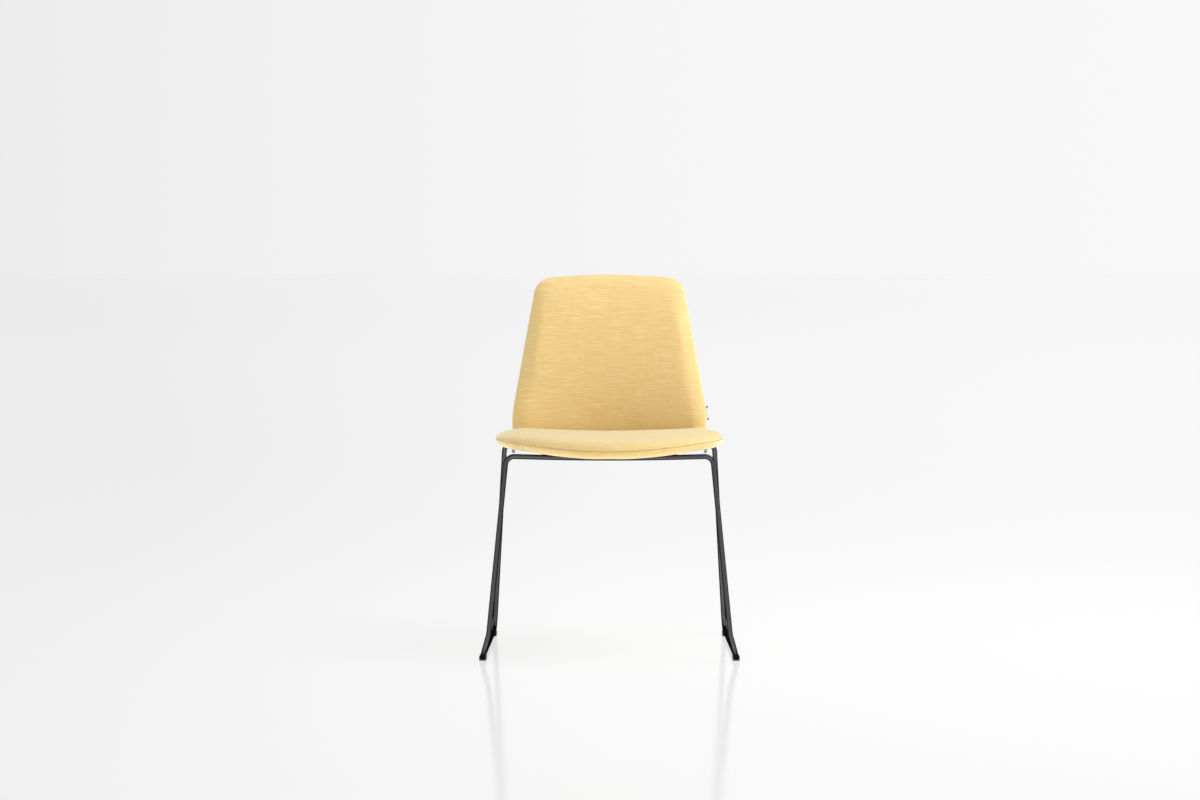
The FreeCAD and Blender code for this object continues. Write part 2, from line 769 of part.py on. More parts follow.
base_blank = solid_feature("base_blank", layer(-size("base_pad"), 0, DISH, DISH, ("lip", "seat")))
base_trimmed = boolean("Common", "base_trimmed", base_blank, plan_block("base", 0))
base_block = bevelled("base_block", base_trimmed, -UP, lambda middle: True, size("base_bevel"))
base_open = boolean("Cut", "base_open", base_block, at_screws("sleeve_holes", sleeve_hole))
base_open = boolean("Cut", "base_drilled", base_open, fused(
    "buffer_holes",
    [buffer_post("buffer_hole_%d" % side, side, "sizes.layer_gap", "sizes.base_pad * 1.1") for side in SIDES]))
keep(boolean("Cut", "base_pad", base_open, shell_whole), "base_pad")

rear_blank = solid_feature("rear_blank", layer(-size("rear_pad"), 0, DISH, DISH, ("bend", "back")))
rear_trimmed = boolean("Common", "rear_trimmed", rear_blank, elevation_block("rear", 0))
rear_start = BACK_FOOT.z - 0.9 * size("shell_bend_radius")
rear_facing = Vector(0, 0.8, -0.6)
rear_block = bevelled(
    "rear_block", rear_trimmed, rear_facing, lambda middle: middle.z > rear_start, size("rear_bevel"))
keep(boolean("Cut", "rear_pad", rear_block, shell_whole), "rear_pad")

keep(at_screws("mounting_screws", screw), "mounting_screws")
keep(at_screws("washers", washer), "washers")
keep(at_screws("tee_nuts", tee_nut), "tee_nuts")
keep(boolean("Cut", "spacer_sleeves", at_screws("sleeve_blanks", sleeve), shell_whole), "spacer_sleeves")
for side, side_name in zip(SIDES, ("left", "right")):
    under_ply = "sizes.base_pad - sizes.ply_thickness / 2 - 3 * sizes.layer_gap"
    keep(buffer_post("seat_buffer_" + side_name, side, "0", under_ply), "seat_buffer_" + side_name)

tab = doc.addObject("Part::Box", "side_tab_blank")
bind(tab, Length="sizes.tab_reach * 2", Width="sizes.tab_thickness", Height="sizes.tab_height")
tab_y = BACK_FOOT.y - dish(WAIST_HALF, DISH)
tab_x = WAIST_HALF - size("tab_reach")
tab.Placement = Placement(Vector(tab_x, tab_y, SHELL_LEVEL + size("back_widest_height")), Rotation())
keep(boolean("Cut", "side_tab", tab, back_outer), "side_tab")

# ---------------------------------------------------------------- check and write
doc.recompute()
for item in doc.Objects:
    if "Invalid" in item.State or "Error" in item.State:
        raise RuntimeError("%s did not compute: %s" % (item.Name, item.State))
for item in sub_parts:
    if item.Shape.isNull() or not item.Shape.isValid() or not item.Shape.Solids:
        raise RuntimeError("%s has no valid solid" % item.Label)

os.makedirs("parts", exist_ok=True)
for item in sub_parts:
    item.Shape.exportStep("parts/%s.step" % item.Label)
    box = item.Shape.BoundBox
    print("%-20s %2d solids %9.0f mm3  x %7.1f %7.1f  y %7.1f %7.1f  z %6.1f %6.1f" % (
        item.Label, len(item.Shape.Solids), item.Shape.Volume,
        box.XMin, box.XMax, box.YMin, box.YMax, box.ZMin, box.ZMax))
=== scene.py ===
"""Looks of the sled base visitor chair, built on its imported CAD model."""

import math

import bmesh
import bpy
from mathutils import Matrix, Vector


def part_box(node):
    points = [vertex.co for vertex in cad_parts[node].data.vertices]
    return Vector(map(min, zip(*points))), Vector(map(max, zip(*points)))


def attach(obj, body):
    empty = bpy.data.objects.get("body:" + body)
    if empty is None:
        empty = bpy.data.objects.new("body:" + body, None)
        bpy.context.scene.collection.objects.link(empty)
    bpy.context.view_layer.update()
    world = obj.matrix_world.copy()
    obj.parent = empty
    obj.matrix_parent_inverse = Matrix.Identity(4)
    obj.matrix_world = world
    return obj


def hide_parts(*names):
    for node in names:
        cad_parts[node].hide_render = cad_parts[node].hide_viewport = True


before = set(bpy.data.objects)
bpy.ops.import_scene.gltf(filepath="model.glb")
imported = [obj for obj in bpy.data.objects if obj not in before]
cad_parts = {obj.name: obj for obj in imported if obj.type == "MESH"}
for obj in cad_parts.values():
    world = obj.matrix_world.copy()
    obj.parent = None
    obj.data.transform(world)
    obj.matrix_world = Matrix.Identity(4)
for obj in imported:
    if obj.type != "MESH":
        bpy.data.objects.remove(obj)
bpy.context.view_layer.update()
bpy.ops.object.select_all(action="DESELECT")
BODY = "root"
MM = 0.001

# ---------------------------------------------------------------- sizes, in millimetres
FRONT_FOOT = -249.3
ROD_RADIUS = 5.5
ROD_BEND = 28.0
BAR_BEND = 19.0
ROD_FLOOR_HEIGHT = 8.5
FRONT_BAR_HALF = 221.3
FRONT_BAR_HEIGHT = 433.0
FRONT_BAR_BOW = 3.0
FRONT_BAR_Y = FRONT_FOOT + 81.0
KINK_HALF = 256.8
KINK_HEIGHT = 58.6
KINK_RADIUS = 60.0
BOW_SHARE = 0.97
ROD_SIDES = 24
BOW_STEPS = 6
LEAST_STEPS = 4
STEP_DEGREES = 6
FRONT_FOOT_HALF = 270.7
REAR_FOOT_HALF = 263.0
REAR_FOOT = FRONT_FOOT + 501.0
REAR_BAR_HALF = 235.5
REAR_BAR_HEIGHT = 441.0
REAR_BAR_Y = FRONT_FOOT + 390.0

SHELL_LEVEL = 452.9
SEAT_FRONT = FRONT_FOOT + 8.0
LIP_START = FRONT_FOOT + 96.0
LIP_DROP = 6.0
BEND_START = FRONT_FOOT + 356.0
BEND_RADIUS = 45.0
BEND_REACH = 0.95 * BEND_RADIUS
BACK_ANGLE = math.radians(82.0)
BACK_CURVE = 1800.0
FOOT = BEND_START + BEND_RADIUS * BACK_ANGLE
FOOT_Y = BEND_START + BEND_RADIUS * math.sin(BACK_ANGLE)
FOOT_Z = SHELL_LEVEL + BEND_RADIUS * (1 - math.cos(BACK_ANGLE))
DISH = 2600.0

SEAT_HALF = 248.5
SEAT_WIDEST = FRONT_FOOT + 216.0
SEAT_FRONT_RADIUS = 300.0
SEAT_CORNER_RADIUS = 130.0
SEAT_SIDE_RADIUS = 246.6
WAIST_RADIUS = 90.0
SIDE_AND_WAIST = SEAT_SIDE_RADIUS + WAIST_RADIUS
WAIST_HALF = (SEAT_HALF - SIDE_AND_WAIST
              + math.sqrt(SIDE_AND_WAIST ** 2 - (BEND_START - SEAT_WIDEST) ** 2))
BACK_WIDEST = SHELL_LEVEL + 38.0
BACK_SIDE_RADIUS = 250.0
BACK_TAPER = math.radians(10.0)
BACK_TOP = SHELL_LEVEL + 367.5
BACK_TOP_RADIUS = 1440.0
BACK_CORNER_RADIUS = 42.0
STEP = 6.0
CORNER_STEP = 3.0

SEAT_PAD = 19.0
SEAT_CROWN = 3600.0
BACK_PAD = 17.0
BACK_HOLLOW = 1200.0
LOW_HOLLOW = 650.0
HIGH_HOLLOW = 2200.0
HOLLOW_RUN = (FOOT - 20.0, FOOT + 320.0)
BASE_PAD = 16.5
REAR_PAD = 12.0
THINNING_RUN = (BEND_START - 45.0, BEND_START + 55.0)
RIM_EXTRA = 1.2
RIM_BAND = (0.80, 0.92)
RIM_END = (SEAT_WIDEST, SEAT_WIDEST + 90.0)
TUCK_LEAN = 2.5
TUCK_DEPTH = 31.0
SEAM_GROOVE = 2.4
NORMAL_SMOOTHING = 4
SHOULDER = 3.0
CELL = 7.0

# Rolled edges: how far each reaches in, how far it falls, and the share that falls straight
SEAT_ROLL = (23.0, 15.5, 0.0)
BACK_ROLL = (22.0, 20.0, 0.36)
LOW_BACK_ROLL = (31.0, 21.0, 0.36)
BASE_ROLL = (13.0, 13.5, 0.0)
SIDE_ROLL = (20.0, 14.0, 0.0)
REAR_ROLL = (12.0, 9.0, 0.0)
TUCK_ROLL = (5.0, 5.0, 0.0)
ROLL_STEPS = 8
GROOVE_STEPS = ((1.0, 0.0), (0.3, 0.5), (0.05, 1.4))
SEAT_TUCK = (22.0, 4.0)
BACK_TUCK = (2.0, 16.0)
SIDE_ROLL_RUN = (150.0 ** 2, 220.0 ** 2)
REAR_ROLL_RUN = (BEND_START - 60.0, BEND_START + 30.0)
REAR_LINE_STEPS = 30

# The short simulation that swells the pads
SWELL_PRESSURE = 3.0
SWELL_MOST = 3.0
SWELL_FRAMES = 15
SWELL_SMOOTHING = 10
CLOTH = {
    "quality": 6, "mass": 0.3, "tension_stiffness": 20, "compression_stiffness": 20,
    "shear_stiffness": 8, "bending_stiffness": 2.0, "use_pressure": True,
    "vertex_group_mass": "seam",
}

# Small parts: the softening of edges, the tab, its bar tacks and the screws
GLIDE_EDGE = 0.6
RAIL_EDGE = 0.4
BUFFER_EDGE = 0.5
WASHER_EDGE = 0.2
TAB_EDGE = 0.5
TAB_LEAN = math.radians(5.0)
TAB_SET_IN = Vector((-3.3, 0.0, 3.5))
TACK_ROWS = 8
TACK_PITCH = 0.5
TACK_LENGTH = 4.4
TACK_RADIUS = 0.3
TACK_MARGIN = 2.0
TACK_OVERHANG = 1.5
TACK_WRAP = 0.95
SCREW_X = (-130.0, 130.0)
SCREW_Y = (FRONT_FOOT + 136.0, FRONT_FOOT + 326.0)
HEAD_RADIUS = 5.5
HEAD_HEIGHT = 3.6
HEAD_ROUNDING = 1.5
SOCKET_RADIUS = 2.3
SOCKET_DEPTH = 2.2
SHANK_RADIUS = 2.9
SHANK_LENGTH = 28.0


# ---------------------------------------------------------------- materials
# The tone of slubs: how often it changes across, along and through the cloth in a metre, and a seed
LONG_WEFT = ((19.0, 330.0, 1.0), 3.1)
SHORT_WEFT = ((55.0, 640.0, 1.0), 7.7)
LONG_WARP = ((420.0, 14.0, 1.0), 5.3)
SHORT_SHARE = 0.45
WARP_SHARE = 0.16
SLUB_DETAIL = 3.0
# A wave texture runs through 20 / 2 pi bands in a unit
ONE_THREAD = 2 * math.pi / 20
DARK_TONES = (0.2, 0.5)
PALE_TONES = (0.5, 0.8)
# The weave's highest relief, and the share of the colour left in its lowest hollows by painted
# shade
WEAVE_TOP = 1.2
HOLLOW_PAINTED_SHADE = 0.86
# Painted dark edges: the facing range over which reflection falls from full at a piece's middle to
# none at its outline
FACING_RUN = (0.03, 0.35)


def fill(tree, node, inputs):
    """Link a node's sockets, or give them values."""
    for name, value in inputs.items():
        if isinstance(value, bpy.types.NodeSocket):
            tree.links.new(value, node.inputs[name])
        else:
            node.inputs[name].default_value = value


def add(tree, kind, inputs=None, **settings):
    """A node with its settings, and its sockets linked or given values."""
    node = tree.nodes.new(kind)
    for name, value in settings.items():
        setattr(node, name, value)
    fill(tree, node, inputs or {})
    return node


def calculate(tree, operation, *values):
    """The result of a sum on numbers or sockets."""
    return add(tree, "ShaderNodeMath", dict(enumerate(values)), operation=operation).outputs[0]


def carry(tree, value, start, end, low=0.0, high=1.0):
    """A value carried from one range to another, and held at its ends."""
    ranges = {"From Min": start, "From Max": end, "To Min": low, "To Max": high}
    return add(tree, "ShaderNodeMapRange", {"Value": value, **ranges}).outputs[0]


def between(tree, factor, first, second):
    """A number between two numbers."""
    return add(tree, "ShaderNodeMix", {"Factor": factor, 2: first, 3: second}).outputs[0]


def tint(tree, factor, first, second, blend_type="MIX"):
    """A colour between two colours, or the product of both."""
    return add(tree, "ShaderNodeMix", {"Factor": factor, 6: first, 7: second},
               data_type="RGBA", blend_type=blend_type).outputs[2]


def group(name, inputs, outputs):
    """An empty node group with named sockets, its input node and its output node."""
    tree = bpy.data.node_groups.new(name, "ShaderNodeTree")
    for in_out, sockets in (("INPUT", inputs), ("OUTPUT", outputs)):
        for label, kind in sockets.items():
            tree.interface.new_socket(label, in_out=in_out, socket_type="NodeSocket" + kind)
    return tree, tree.nodes.new("NodeGroupInput"), tree.nodes.new("NodeGroupOutput")


def weave_group():
    """Plain weave in slubby yarns of three tones, with painted shade darkening the hollows between
    threads, on a pattern in metres.
    """
    tree, entry, leave = group(
        "melange_weave",
        {"Pattern": "Vector", "Pale": "Color", "Golden": "Color", "Shade": "Color",
         "Threads per metre": "Float", "Slub": "Float"},
        {"Color": "Color", "Height": "Float"})
    pattern = entry.outputs["Pattern"]
    density = entry.outputs["Threads per metre"]
    threads = add(tree, "ShaderNodeVectorMath", {0: pattern, "Scale": density},
                  operation="SCALE").outputs[0]

    def bands(direction):
        wave = {"Vector": threads, "Scale": ONE_THREAD}
        return add(tree, "ShaderNodeTexWave", wave, bands_direction=direction).outputs["Fac"]

    def slubs(stretch, seed):
        place = {"Vector": pattern, "Scale": stretch, "Location": (seed, seed, 0)}
        along = add(tree, "ShaderNodeMapping", place).outputs[0]
        noise = {"Vector": along, "Scale": 1.0, "Detail": SLUB_DETAIL}
        return add(tree, "ShaderNodeTexNoise", noise).outputs["Fac"]

    warp, weft = bands("X"), bands("Y")
    over = add(tree, "ShaderNodeTexChecker", {"Vector": threads, "Scale": 1.0}).outputs["Fac"]
    crossing = calculate(tree, "MULTIPLY", warp, weft)
    height = calculate(tree, "ADD", between(tree, over, weft, warp), crossing)
    wefts = between(tree, SHORT_SHARE, slubs(*LONG_WEFT), slubs(*SHORT_WEFT))
    yarns = between(tree, WARP_SHARE, wefts, slubs(*LONG_WARP))
    centred = calculate(tree, "SUBTRACT", yarns, 0.5)
    tone = calculate(tree, "ADD", calculate(tree, "MULTIPLY", centred, entry.outputs["Slub"]), 0.5)
    dark_side = carry(tree, tone, *DARK_TONES)
    pale_side = carry(tree, tone, *PALE_TONES)
    low = tint(tree, dark_side, entry.outputs["Shade"], entry.outputs["Golden"])
    full = tint(tree, pale_side, low, entry.outputs["Pale"])
    # Painted shade: the colour is darkened where the weave's height is low, in the hollows between
    # threads
    hollow = carry(tree, height, 0.0, WEAVE_TOP, HOLLOW_PAINTED_SHADE)
    with_painted_hollow_shade = tint(tree, 1.0, full, hollow, blend_type="MULTIPLY")
    fill(tree, leave, {"Color": with_painted_hollow_shade, "Height": height})
    return tree


def mottle_group():
    """A colour and a roughness that drift a little, with a fine grain for the bump."""
    tree, entry, leave = group(
        "mottle",
        {"Place": "Vector", "Color": "Color", "Drift": "Float", "Patch size": "Float",
         "Grain size": "Float", "Roughness": "Float", "Roughness drift": "Float"},
        {"Color": "Color", "Height": "Float", "Roughness": "Float"})

    def noise(size):
        scale = calculate(tree, "DIVIDE", 1.0, entry.outputs[size])
        place = {"Vector": entry.outputs["Place"], "Scale": scale}
        return add(tree, "ShaderNodeTexNoise", place).outputs["Fac"]

    centred = calculate(tree, "SUBTRACT", noise("Patch size"), 0.5)
    shift = calculate(tree, "MULTIPLY", centred, entry.outputs["Drift"])
    value = calculate(tree, "ADD", shift, 1.0)
    tinted = add(tree, "ShaderNodeHueSaturation", {"Color": entry.outputs["Color"], "Value": value})
    rough_shift = calculate(tree, "MULTIPLY", centred, entry.outputs["Roughness drift"])
    rough = calculate(tree, "ADD", rough_shift, entry.outputs["Roughness"])
    fill(tree, leave, {
        "Color": tinted.outputs[0], "Height": noise("Grain size"), "Roughness": rough})
    return tree


WEAVE = weave_group()
MOTTLE = mottle_group()


def new_material(name):
    """A material with its tree and its principled shader."""
    material = bpy.data.materials.new(name)
    material.use_nodes = True
    return material, material.node_tree, material.node_tree.nodes["Principled BSDF"]


def bump(tree, shader, height, strength, distance):
    """Relief from a height, on the shader's normal."""
    relief = {"Height": height, "Strength": strength, "Distance": distance}
    fill(tree, shader, {"Normal": add(tree, "ShaderNodeBump", relief).outputs[0]})


def cloth_material(name, yarns, slub, threads):
    """Woven upholstery cloth in pale, golden and shaded yarns."""
    material, tree, shader = new_material(name)
    pattern = add(tree, "ShaderNodeUVMap", uv_map="weave").outputs[0]
    pale, golden, shade = yarns
    cloth = add(tree, "ShaderNodeGroup", {
        "Pattern": pattern, "Pale": pale, "Golden": golden, "Shade": shade,
        "Threads per metre": threads, "Slub": slub}, node_tree=WEAVE)
    fill(tree, shader, {
        "Base Color": cloth.outputs["Color"], "Roughness": 0.7, "Specular IOR Level": 0.5,
        "Sheen Weight": 0.6, "Sheen Roughness": 0.5, "Sheen Tint": (0.95, 1.0, 0.85, 1)})
    bump(tree, shader, cloth.outputs["Height"], strength=0.35, distance=0.0003)
    return material


def plain_material(name, color, roughness, drift=0.12, patch=0.03, grain=0.001, relief=0.1,
                   metallic=0.0, rough_drift=0.1):
    """A finish of one colour with its own mottle and grain."""
    material, tree, shader = new_material(name)
    place = add(tree, "ShaderNodeTexCoord").outputs["Object"]
    finish = add(tree, "ShaderNodeGroup", {
        "Place": place, "Color": color, "Drift": drift, "Patch size": patch, "Grain size": grain,
        "Roughness": roughness, "Roughness drift": rough_drift}, node_tree=MOTTLE)
    fill(tree, shader, {
        "Base Color": finish.outputs["Color"], "Roughness": finish.outputs["Roughness"],
        "Metallic": metallic})
    bump(tree, shader, finish.outputs["Height"], strength=relief, distance=0.0002)
    return material


def shade_rim(material, full):
    """Painted shade at the outline: reflection at its full level over a piece's middle, and none
    towards its outline, so its edges turn dark.
    """
    tree = material.node_tree
    facing = add(tree, "ShaderNodeLayerWeight", {"Blend": 0.5}).outputs["Facing"]
    level = carry(tree, facing, *FACING_RUN, full, 0.0)
    fill(tree, tree.nodes["Principled BSDF"], {"Specular IOR Level": level})


def plywood_material():
    """Beech plywood with grain along the shell."""
    material, tree, shader = new_material("moulded_plywood")
    place = add(tree, "ShaderNodeTexCoord").outputs["Object"]
    drawn = add(tree, "ShaderNodeMapping", {"Vector": place, "Scale": (160.0, 6.0, 6.0)}).outputs[0]
    noise = {"Vector": drawn, "Scale": 1.0, "Detail": 5.0}
    grain = add(tree, "ShaderNodeTexNoise", noise).outputs["Fac"]
    finish = tint(tree, grain, (0.42, 0.26, 0.13, 1), (0.72, 0.53, 0.33, 1))
    fill(tree, shader, {"Base Color": finish, "Roughness": 0.6})
    bump(tree, shader, grain, strength=0.15, distance=0.0003)
    return material


FABRIC = cloth_material(
    "yellow_melange", ((0.79, 0.65, 0.38, 1), (0.68, 0.475, 0.17, 1), (0.61, 0.38, 0.10, 1)),
    slub=1.1, threads=780.0)
TAPE = cloth_material(
    "plain_tape", ((0.72, 0.72, 0.82, 1), (0.66, 0.66, 0.76, 1), (0.58, 0.58, 0.68, 1)),
    slub=0.5, threads=1600.0)
THREAD = plain_material("dark_thread", (0.03, 0.03, 0.035, 1), 0.7, grain=0.0004, relief=0.4)
BLACK_COAT = plain_material(
    "satin_black_coat", (0.005, 0.005, 0.009, 1), 0.26, drift=0.25, patch=0.05, grain=0.0009,
    relief=0.05)
# Painted shade: the coat's reflection fades out towards each rod's outline, so its edges read dark
shade_rim(BLACK_COAT, full=0.85)
BLACK_NYLON = plain_material("black_nylon", (0.015, 0.015, 0.016, 1), 0.5, grain=0.0006, relief=0.2)
RUBBER = plain_material("buffer_rubber", (0.25, 0.23, 0.21, 1), 0.7, grain=0.0008, relief=0.3)
ZINC = plain_material(
    "zinc_plate", (0.62, 0.63, 0.66, 1), 0.3, drift=0.15, patch=0.004, grain=0.0004,
    metallic=1.0, rough_drift=0.25)
PLYWOOD = plywood_material()


# ---------------------------------------------------------------- helpers for pieces
def finish_piece(piece, material, slot, *nodes):
    """Give a new piece its material and its body, in place of its CAD nodes; the slot is not used.
    """
    piece.data.materials.clear()
    piece.data.materials.append(material)
    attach(piece, BODY)
    if nodes:
        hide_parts(*nodes)


def activate(piece):
    """Make one object the only selected one, and the active one."""
    bpy.ops.object.select_all(action="DESELECT")
    piece.select_set(True)
    bpy.context.view_layer.objects.active = piece


def apply_modifier(piece, kind, **settings):
    """Add a modifier with its settings and apply it."""
    activate(piece)
    modifier = piece.modifiers.new(kind.lower(), kind)
    for name, value in settings.items():
        setattr(modifier, name, value)
    bpy.ops.object.modifier_apply(modifier=modifier.name)


def smooth(piece, angle=35):
    """Smooth shading with hard edges past an angle in degrees."""
    activate(piece)
    bpy.ops.object.shade_smooth_by_angle(angle=math.radians(angle))


def edit_all():
    """Edit mode, with the whole mesh of the active object selected."""
    bpy.ops.object.mode_set(mode="EDIT")
    bpy.ops.mesh.select_all(action="SELECT")


def join(parts, name):
    """Join parts into one piece with its place in its mesh."""
    bpy.ops.object.select_all(action="DESELECT")
    for part in parts:
        part.select_set(True)
    bpy.context.view_layer.objects.active = parts[0]
    bpy.ops.object.join()
    whole = bpy.context.object
    whole.name = name
    bpy.ops.object.transform_apply(location=True, rotation=True, scale=True)
    smooth(whole, angle=40)
    return whole


def dress_node(name, material):
    """Put a material on a CAD node that stays."""
    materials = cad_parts[name].data.materials
    materials.clear()
    materials.append(material)


def softened_copy(name, piece_name, edge, material, slot):
    """A copy of a CAD node, merged to one skin, with its sharp edges rounded."""
    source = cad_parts[name]
    piece = source.copy()
    piece.data = source.data.copy()
    piece.parent = None
    piece.name = piece_name
    piece.data.name = piece_name
    bpy.context.scene.collection.objects.link(piece)
    piece.matrix_world = source.matrix_world
    activate(piece)
    edit_all()
    bpy.ops.mesh.remove_doubles(threshold=0.00001)
    bpy.ops.mesh.dissolve_limited(angle_limit=math.radians(1))
    bpy.ops.object.mode_set(mode="OBJECT")
    apply_modifier(piece, "BEVEL", width=edge * MM, segments=2, limit_method="ANGLE",
                   angle_limit=math.radians(40))
    smooth(piece)
    finish_piece(piece, material, slot, name)


# ---------------------------------------------------------------- rod frame
def rod_bends():
    """The right half of the rod: each bend's start, end, centre, axis and turn, front to rear."""
    bar_straight = FRONT_BAR_HALF - ROD_BEND
    slope = 2 * FRONT_BAR_BOW / bar_straight
    kink_share = (FRONT_BAR_HEIGHT - KINK_HEIGHT) / (FRONT_BAR_HEIGHT - ROD_FLOOR_HEIGHT)
    kink_y = FRONT_BAR_Y + (FRONT_FOOT - FRONT_BAR_Y) * kink_share
    low_middle = Vector((0, FRONT_BAR_Y, FRONT_BAR_HEIGHT - slope * FRONT_BAR_HALF))
    right = [
        (Vector((FRONT_BAR_HALF, FRONT_BAR_Y, FRONT_BAR_HEIGHT)), BAR_BEND),
        (Vector((KINK_HALF, kink_y, KINK_HEIGHT)), KINK_RADIUS),
        (Vector((FRONT_FOOT_HALF, FRONT_FOOT, ROD_FLOOR_HEIGHT)), ROD_BEND),
        (Vector((REAR_FOOT_HALF, REAR_FOOT, ROD_FLOOR_HEIGHT)), ROD_BEND),
        (Vector((REAR_BAR_HALF, REAR_BAR_Y, REAR_BAR_HEIGHT)), BAR_BEND),
    ]
    first = Vector((-FRONT_BAR_HALF, FRONT_BAR_Y, FRONT_BAR_HEIGHT))
    last = Vector((0, REAR_BAR_Y, REAR_BAR_HEIGHT))
    stations = [(low_middle, BOW_SHARE * bar_straight / slope)] + right
    corners = [first] + [corner for corner, _ in stations] + [last]
    bends = []
    for index, (corner, radius) in enumerate(stations):
        back = (corners[index] - corner).normalized()
        ahead = (corners[index + 2] - corner).normalized()
        turn = math.pi - back.angle(ahead)
        reach = radius * math.tan(turn / 2)
        centre = corner + (back + ahead).normalized() * (radius / math.cos(turn / 2))
        bends.append({
            "start": corner + back * reach, "end": corner + ahead * reach, "centre": centre,
            "axis": ahead.cross(-back).normalized(), "turn": turn, "radius": radius,
        })
    return bends, last


def make_rod_frame():
    """The rod, drawn by extruding and spinning a circle along its right half, then mirrored."""
    bends, last = rod_bends()
    bow = bends[0]
    middle = bow["centre"] + Vector((0, 0, -1)) * bow["radius"]
    bpy.ops.mesh.primitive_circle_add(
        vertices=ROD_SIDES, radius=ROD_RADIUS * MM, location=middle * MM,
        rotation=(0, math.pi / 2, 0))
    rod = bpy.context.object
    rod.name = "rod_frame"
    bpy.ops.object.transform_apply(location=True, rotation=True, scale=True)
    edit_all()

    def turn(bend, angle, steps):
        bpy.ops.mesh.spin(steps=steps, angle=angle, center=bend["centre"] * MM, axis=bend["axis"])

    def extrude(start, end):
        bpy.ops.mesh.extrude_region_move(TRANSFORM_OT_translate={"value": (end - start) * MM})

    turn(bow, bow["turn"] / 2, BOW_STEPS)
    place = bow["end"]
    for bend in bends[1:]:
        extrude(place, bend["start"])
        steps = round(math.degrees(bend["turn"]) / STEP_DEGREES)
        turn(bend, bend["turn"], max(LEAST_STEPS, steps))
        place = bend["end"]
    extrude(place, last)
    bpy.ops.object.mode_set(mode="OBJECT")
    apply_modifier(
        rod, "MIRROR", use_axis=(True, False, False), use_clip=True, merge_threshold=0.0002)
    edit_all()
    bpy.ops.mesh.remove_doubles(threshold=0.00005)
    bpy.ops.mesh.normals_make_consistent(inside=False)
    bpy.ops.object.mode_set(mode="OBJECT")
    smooth(rod, angle=60)
    finish_piece(rod, BLACK_COAT, "frame", "sled_frame")


# ---------------------------------------------------------------- shell surface
def shell_profile(s, course):
    """The shell's middle line at a distance s along it: y, z, slope and the dish's lean.

    The seat's course runs on level under the back, and the back's runs straight down behind the
    seat; the shell's own course bends from one to the other.
    """
    if s < LIP_START:
        share = (LIP_START - s) / (LIP_START - SEAT_FRONT)
        slope = math.atan(2 * LIP_DROP * share / (LIP_START - SEAT_FRONT))
        return s, SHELL_LEVEL - LIP_DROP * share * share, slope, 0.0
    if course == "seat" or s < BEND_START and course == "shell":
        return s, SHELL_LEVEL, 0.0, 0.0
    if s >= FOOT:
        slope = BACK_ANGLE - (s - FOOT) / BACK_CURVE
        return (FOOT_Y + BACK_CURVE * (math.sin(BACK_ANGLE) - math.sin(slope)),
                FOOT_Z + BACK_CURVE * (math.cos(slope) - math.cos(BACK_ANGLE)), slope, math.pi / 2)
    if course == "back":
        below = s - FOOT
        return (FOOT_Y + below * math.cos(BACK_ANGLE), FOOT_Z + below * math.sin(BACK_ANGLE),
                BACK_ANGLE, math.pi / 2)
    slope = (s - BEND_START) / BEND_RADIUS
    lean = slope / BACK_ANGLE * math.pi / 2
    return (BEND_START + BEND_RADIUS * math.sin(slope),
            SHELL_LEVEL + BEND_RADIUS * (1 - math.cos(slope)), slope, lean)


def bend_rise(past):
    """How far the shell's bend stands above the level seat or before the straight back."""
    past = min(max(past, 0.0), BEND_REACH)
    return BEND_RADIUS - math.sqrt(BEND_RADIUS * BEND_RADIUS - past * past)


def back_distance(height):
    """The distance along the shell at which the back's middle line reaches a height."""
    if height < FOOT_Z:
        return FOOT + (height - FOOT_Z) / math.sin(BACK_ANGLE)
    slope = math.acos(math.cos(BACK_ANGLE) + (height - FOOT_Z) / BACK_CURVE)
    return FOOT + BACK_CURVE * (BACK_ANGLE - slope)


def dish(x):
    """How far the shell's hollow stands above its middle at x."""
    return DISH - math.sqrt(DISH * DISH - x * x)


def shell_point(x, s, height, course):
    """A place at a height over the shell's middle surface, in millimetres."""
    y, z, slope, lean = shell_profile(s, course)
    rise = (dish(x) + height) / math.cos(lean - slope)
    return Vector((x, y - math.sin(lean) * rise, z + math.cos(lean) * rise))


# ---------------------------------------------------------------- outlines, flat
def arc(centre, radius, start, end, step=STEP):
    """Points along an arc about a centre, the shorter way round, without the last one."""
    first = math.atan2(start[1] - centre[1], start[0] - centre[0])
    sweep = math.atan2(end[1] - centre[1], end[0] - centre[0]) - first
    sweep = (sweep + math.pi) % (2 * math.pi) - math.pi
    count = round(abs(sweep) * radius / step)
    return [
        Vector((centre[0] + radius * math.cos(first + sweep * k / count),
                centre[1] + radius * math.sin(first + sweep * k / count)))
        for k in range(count)
    ]


def line(start, end):
    """Points along a straight, without the last one."""
    count = round((end - start).length / STEP)
    return [start.lerp(end, k / count) for k in range(count)]


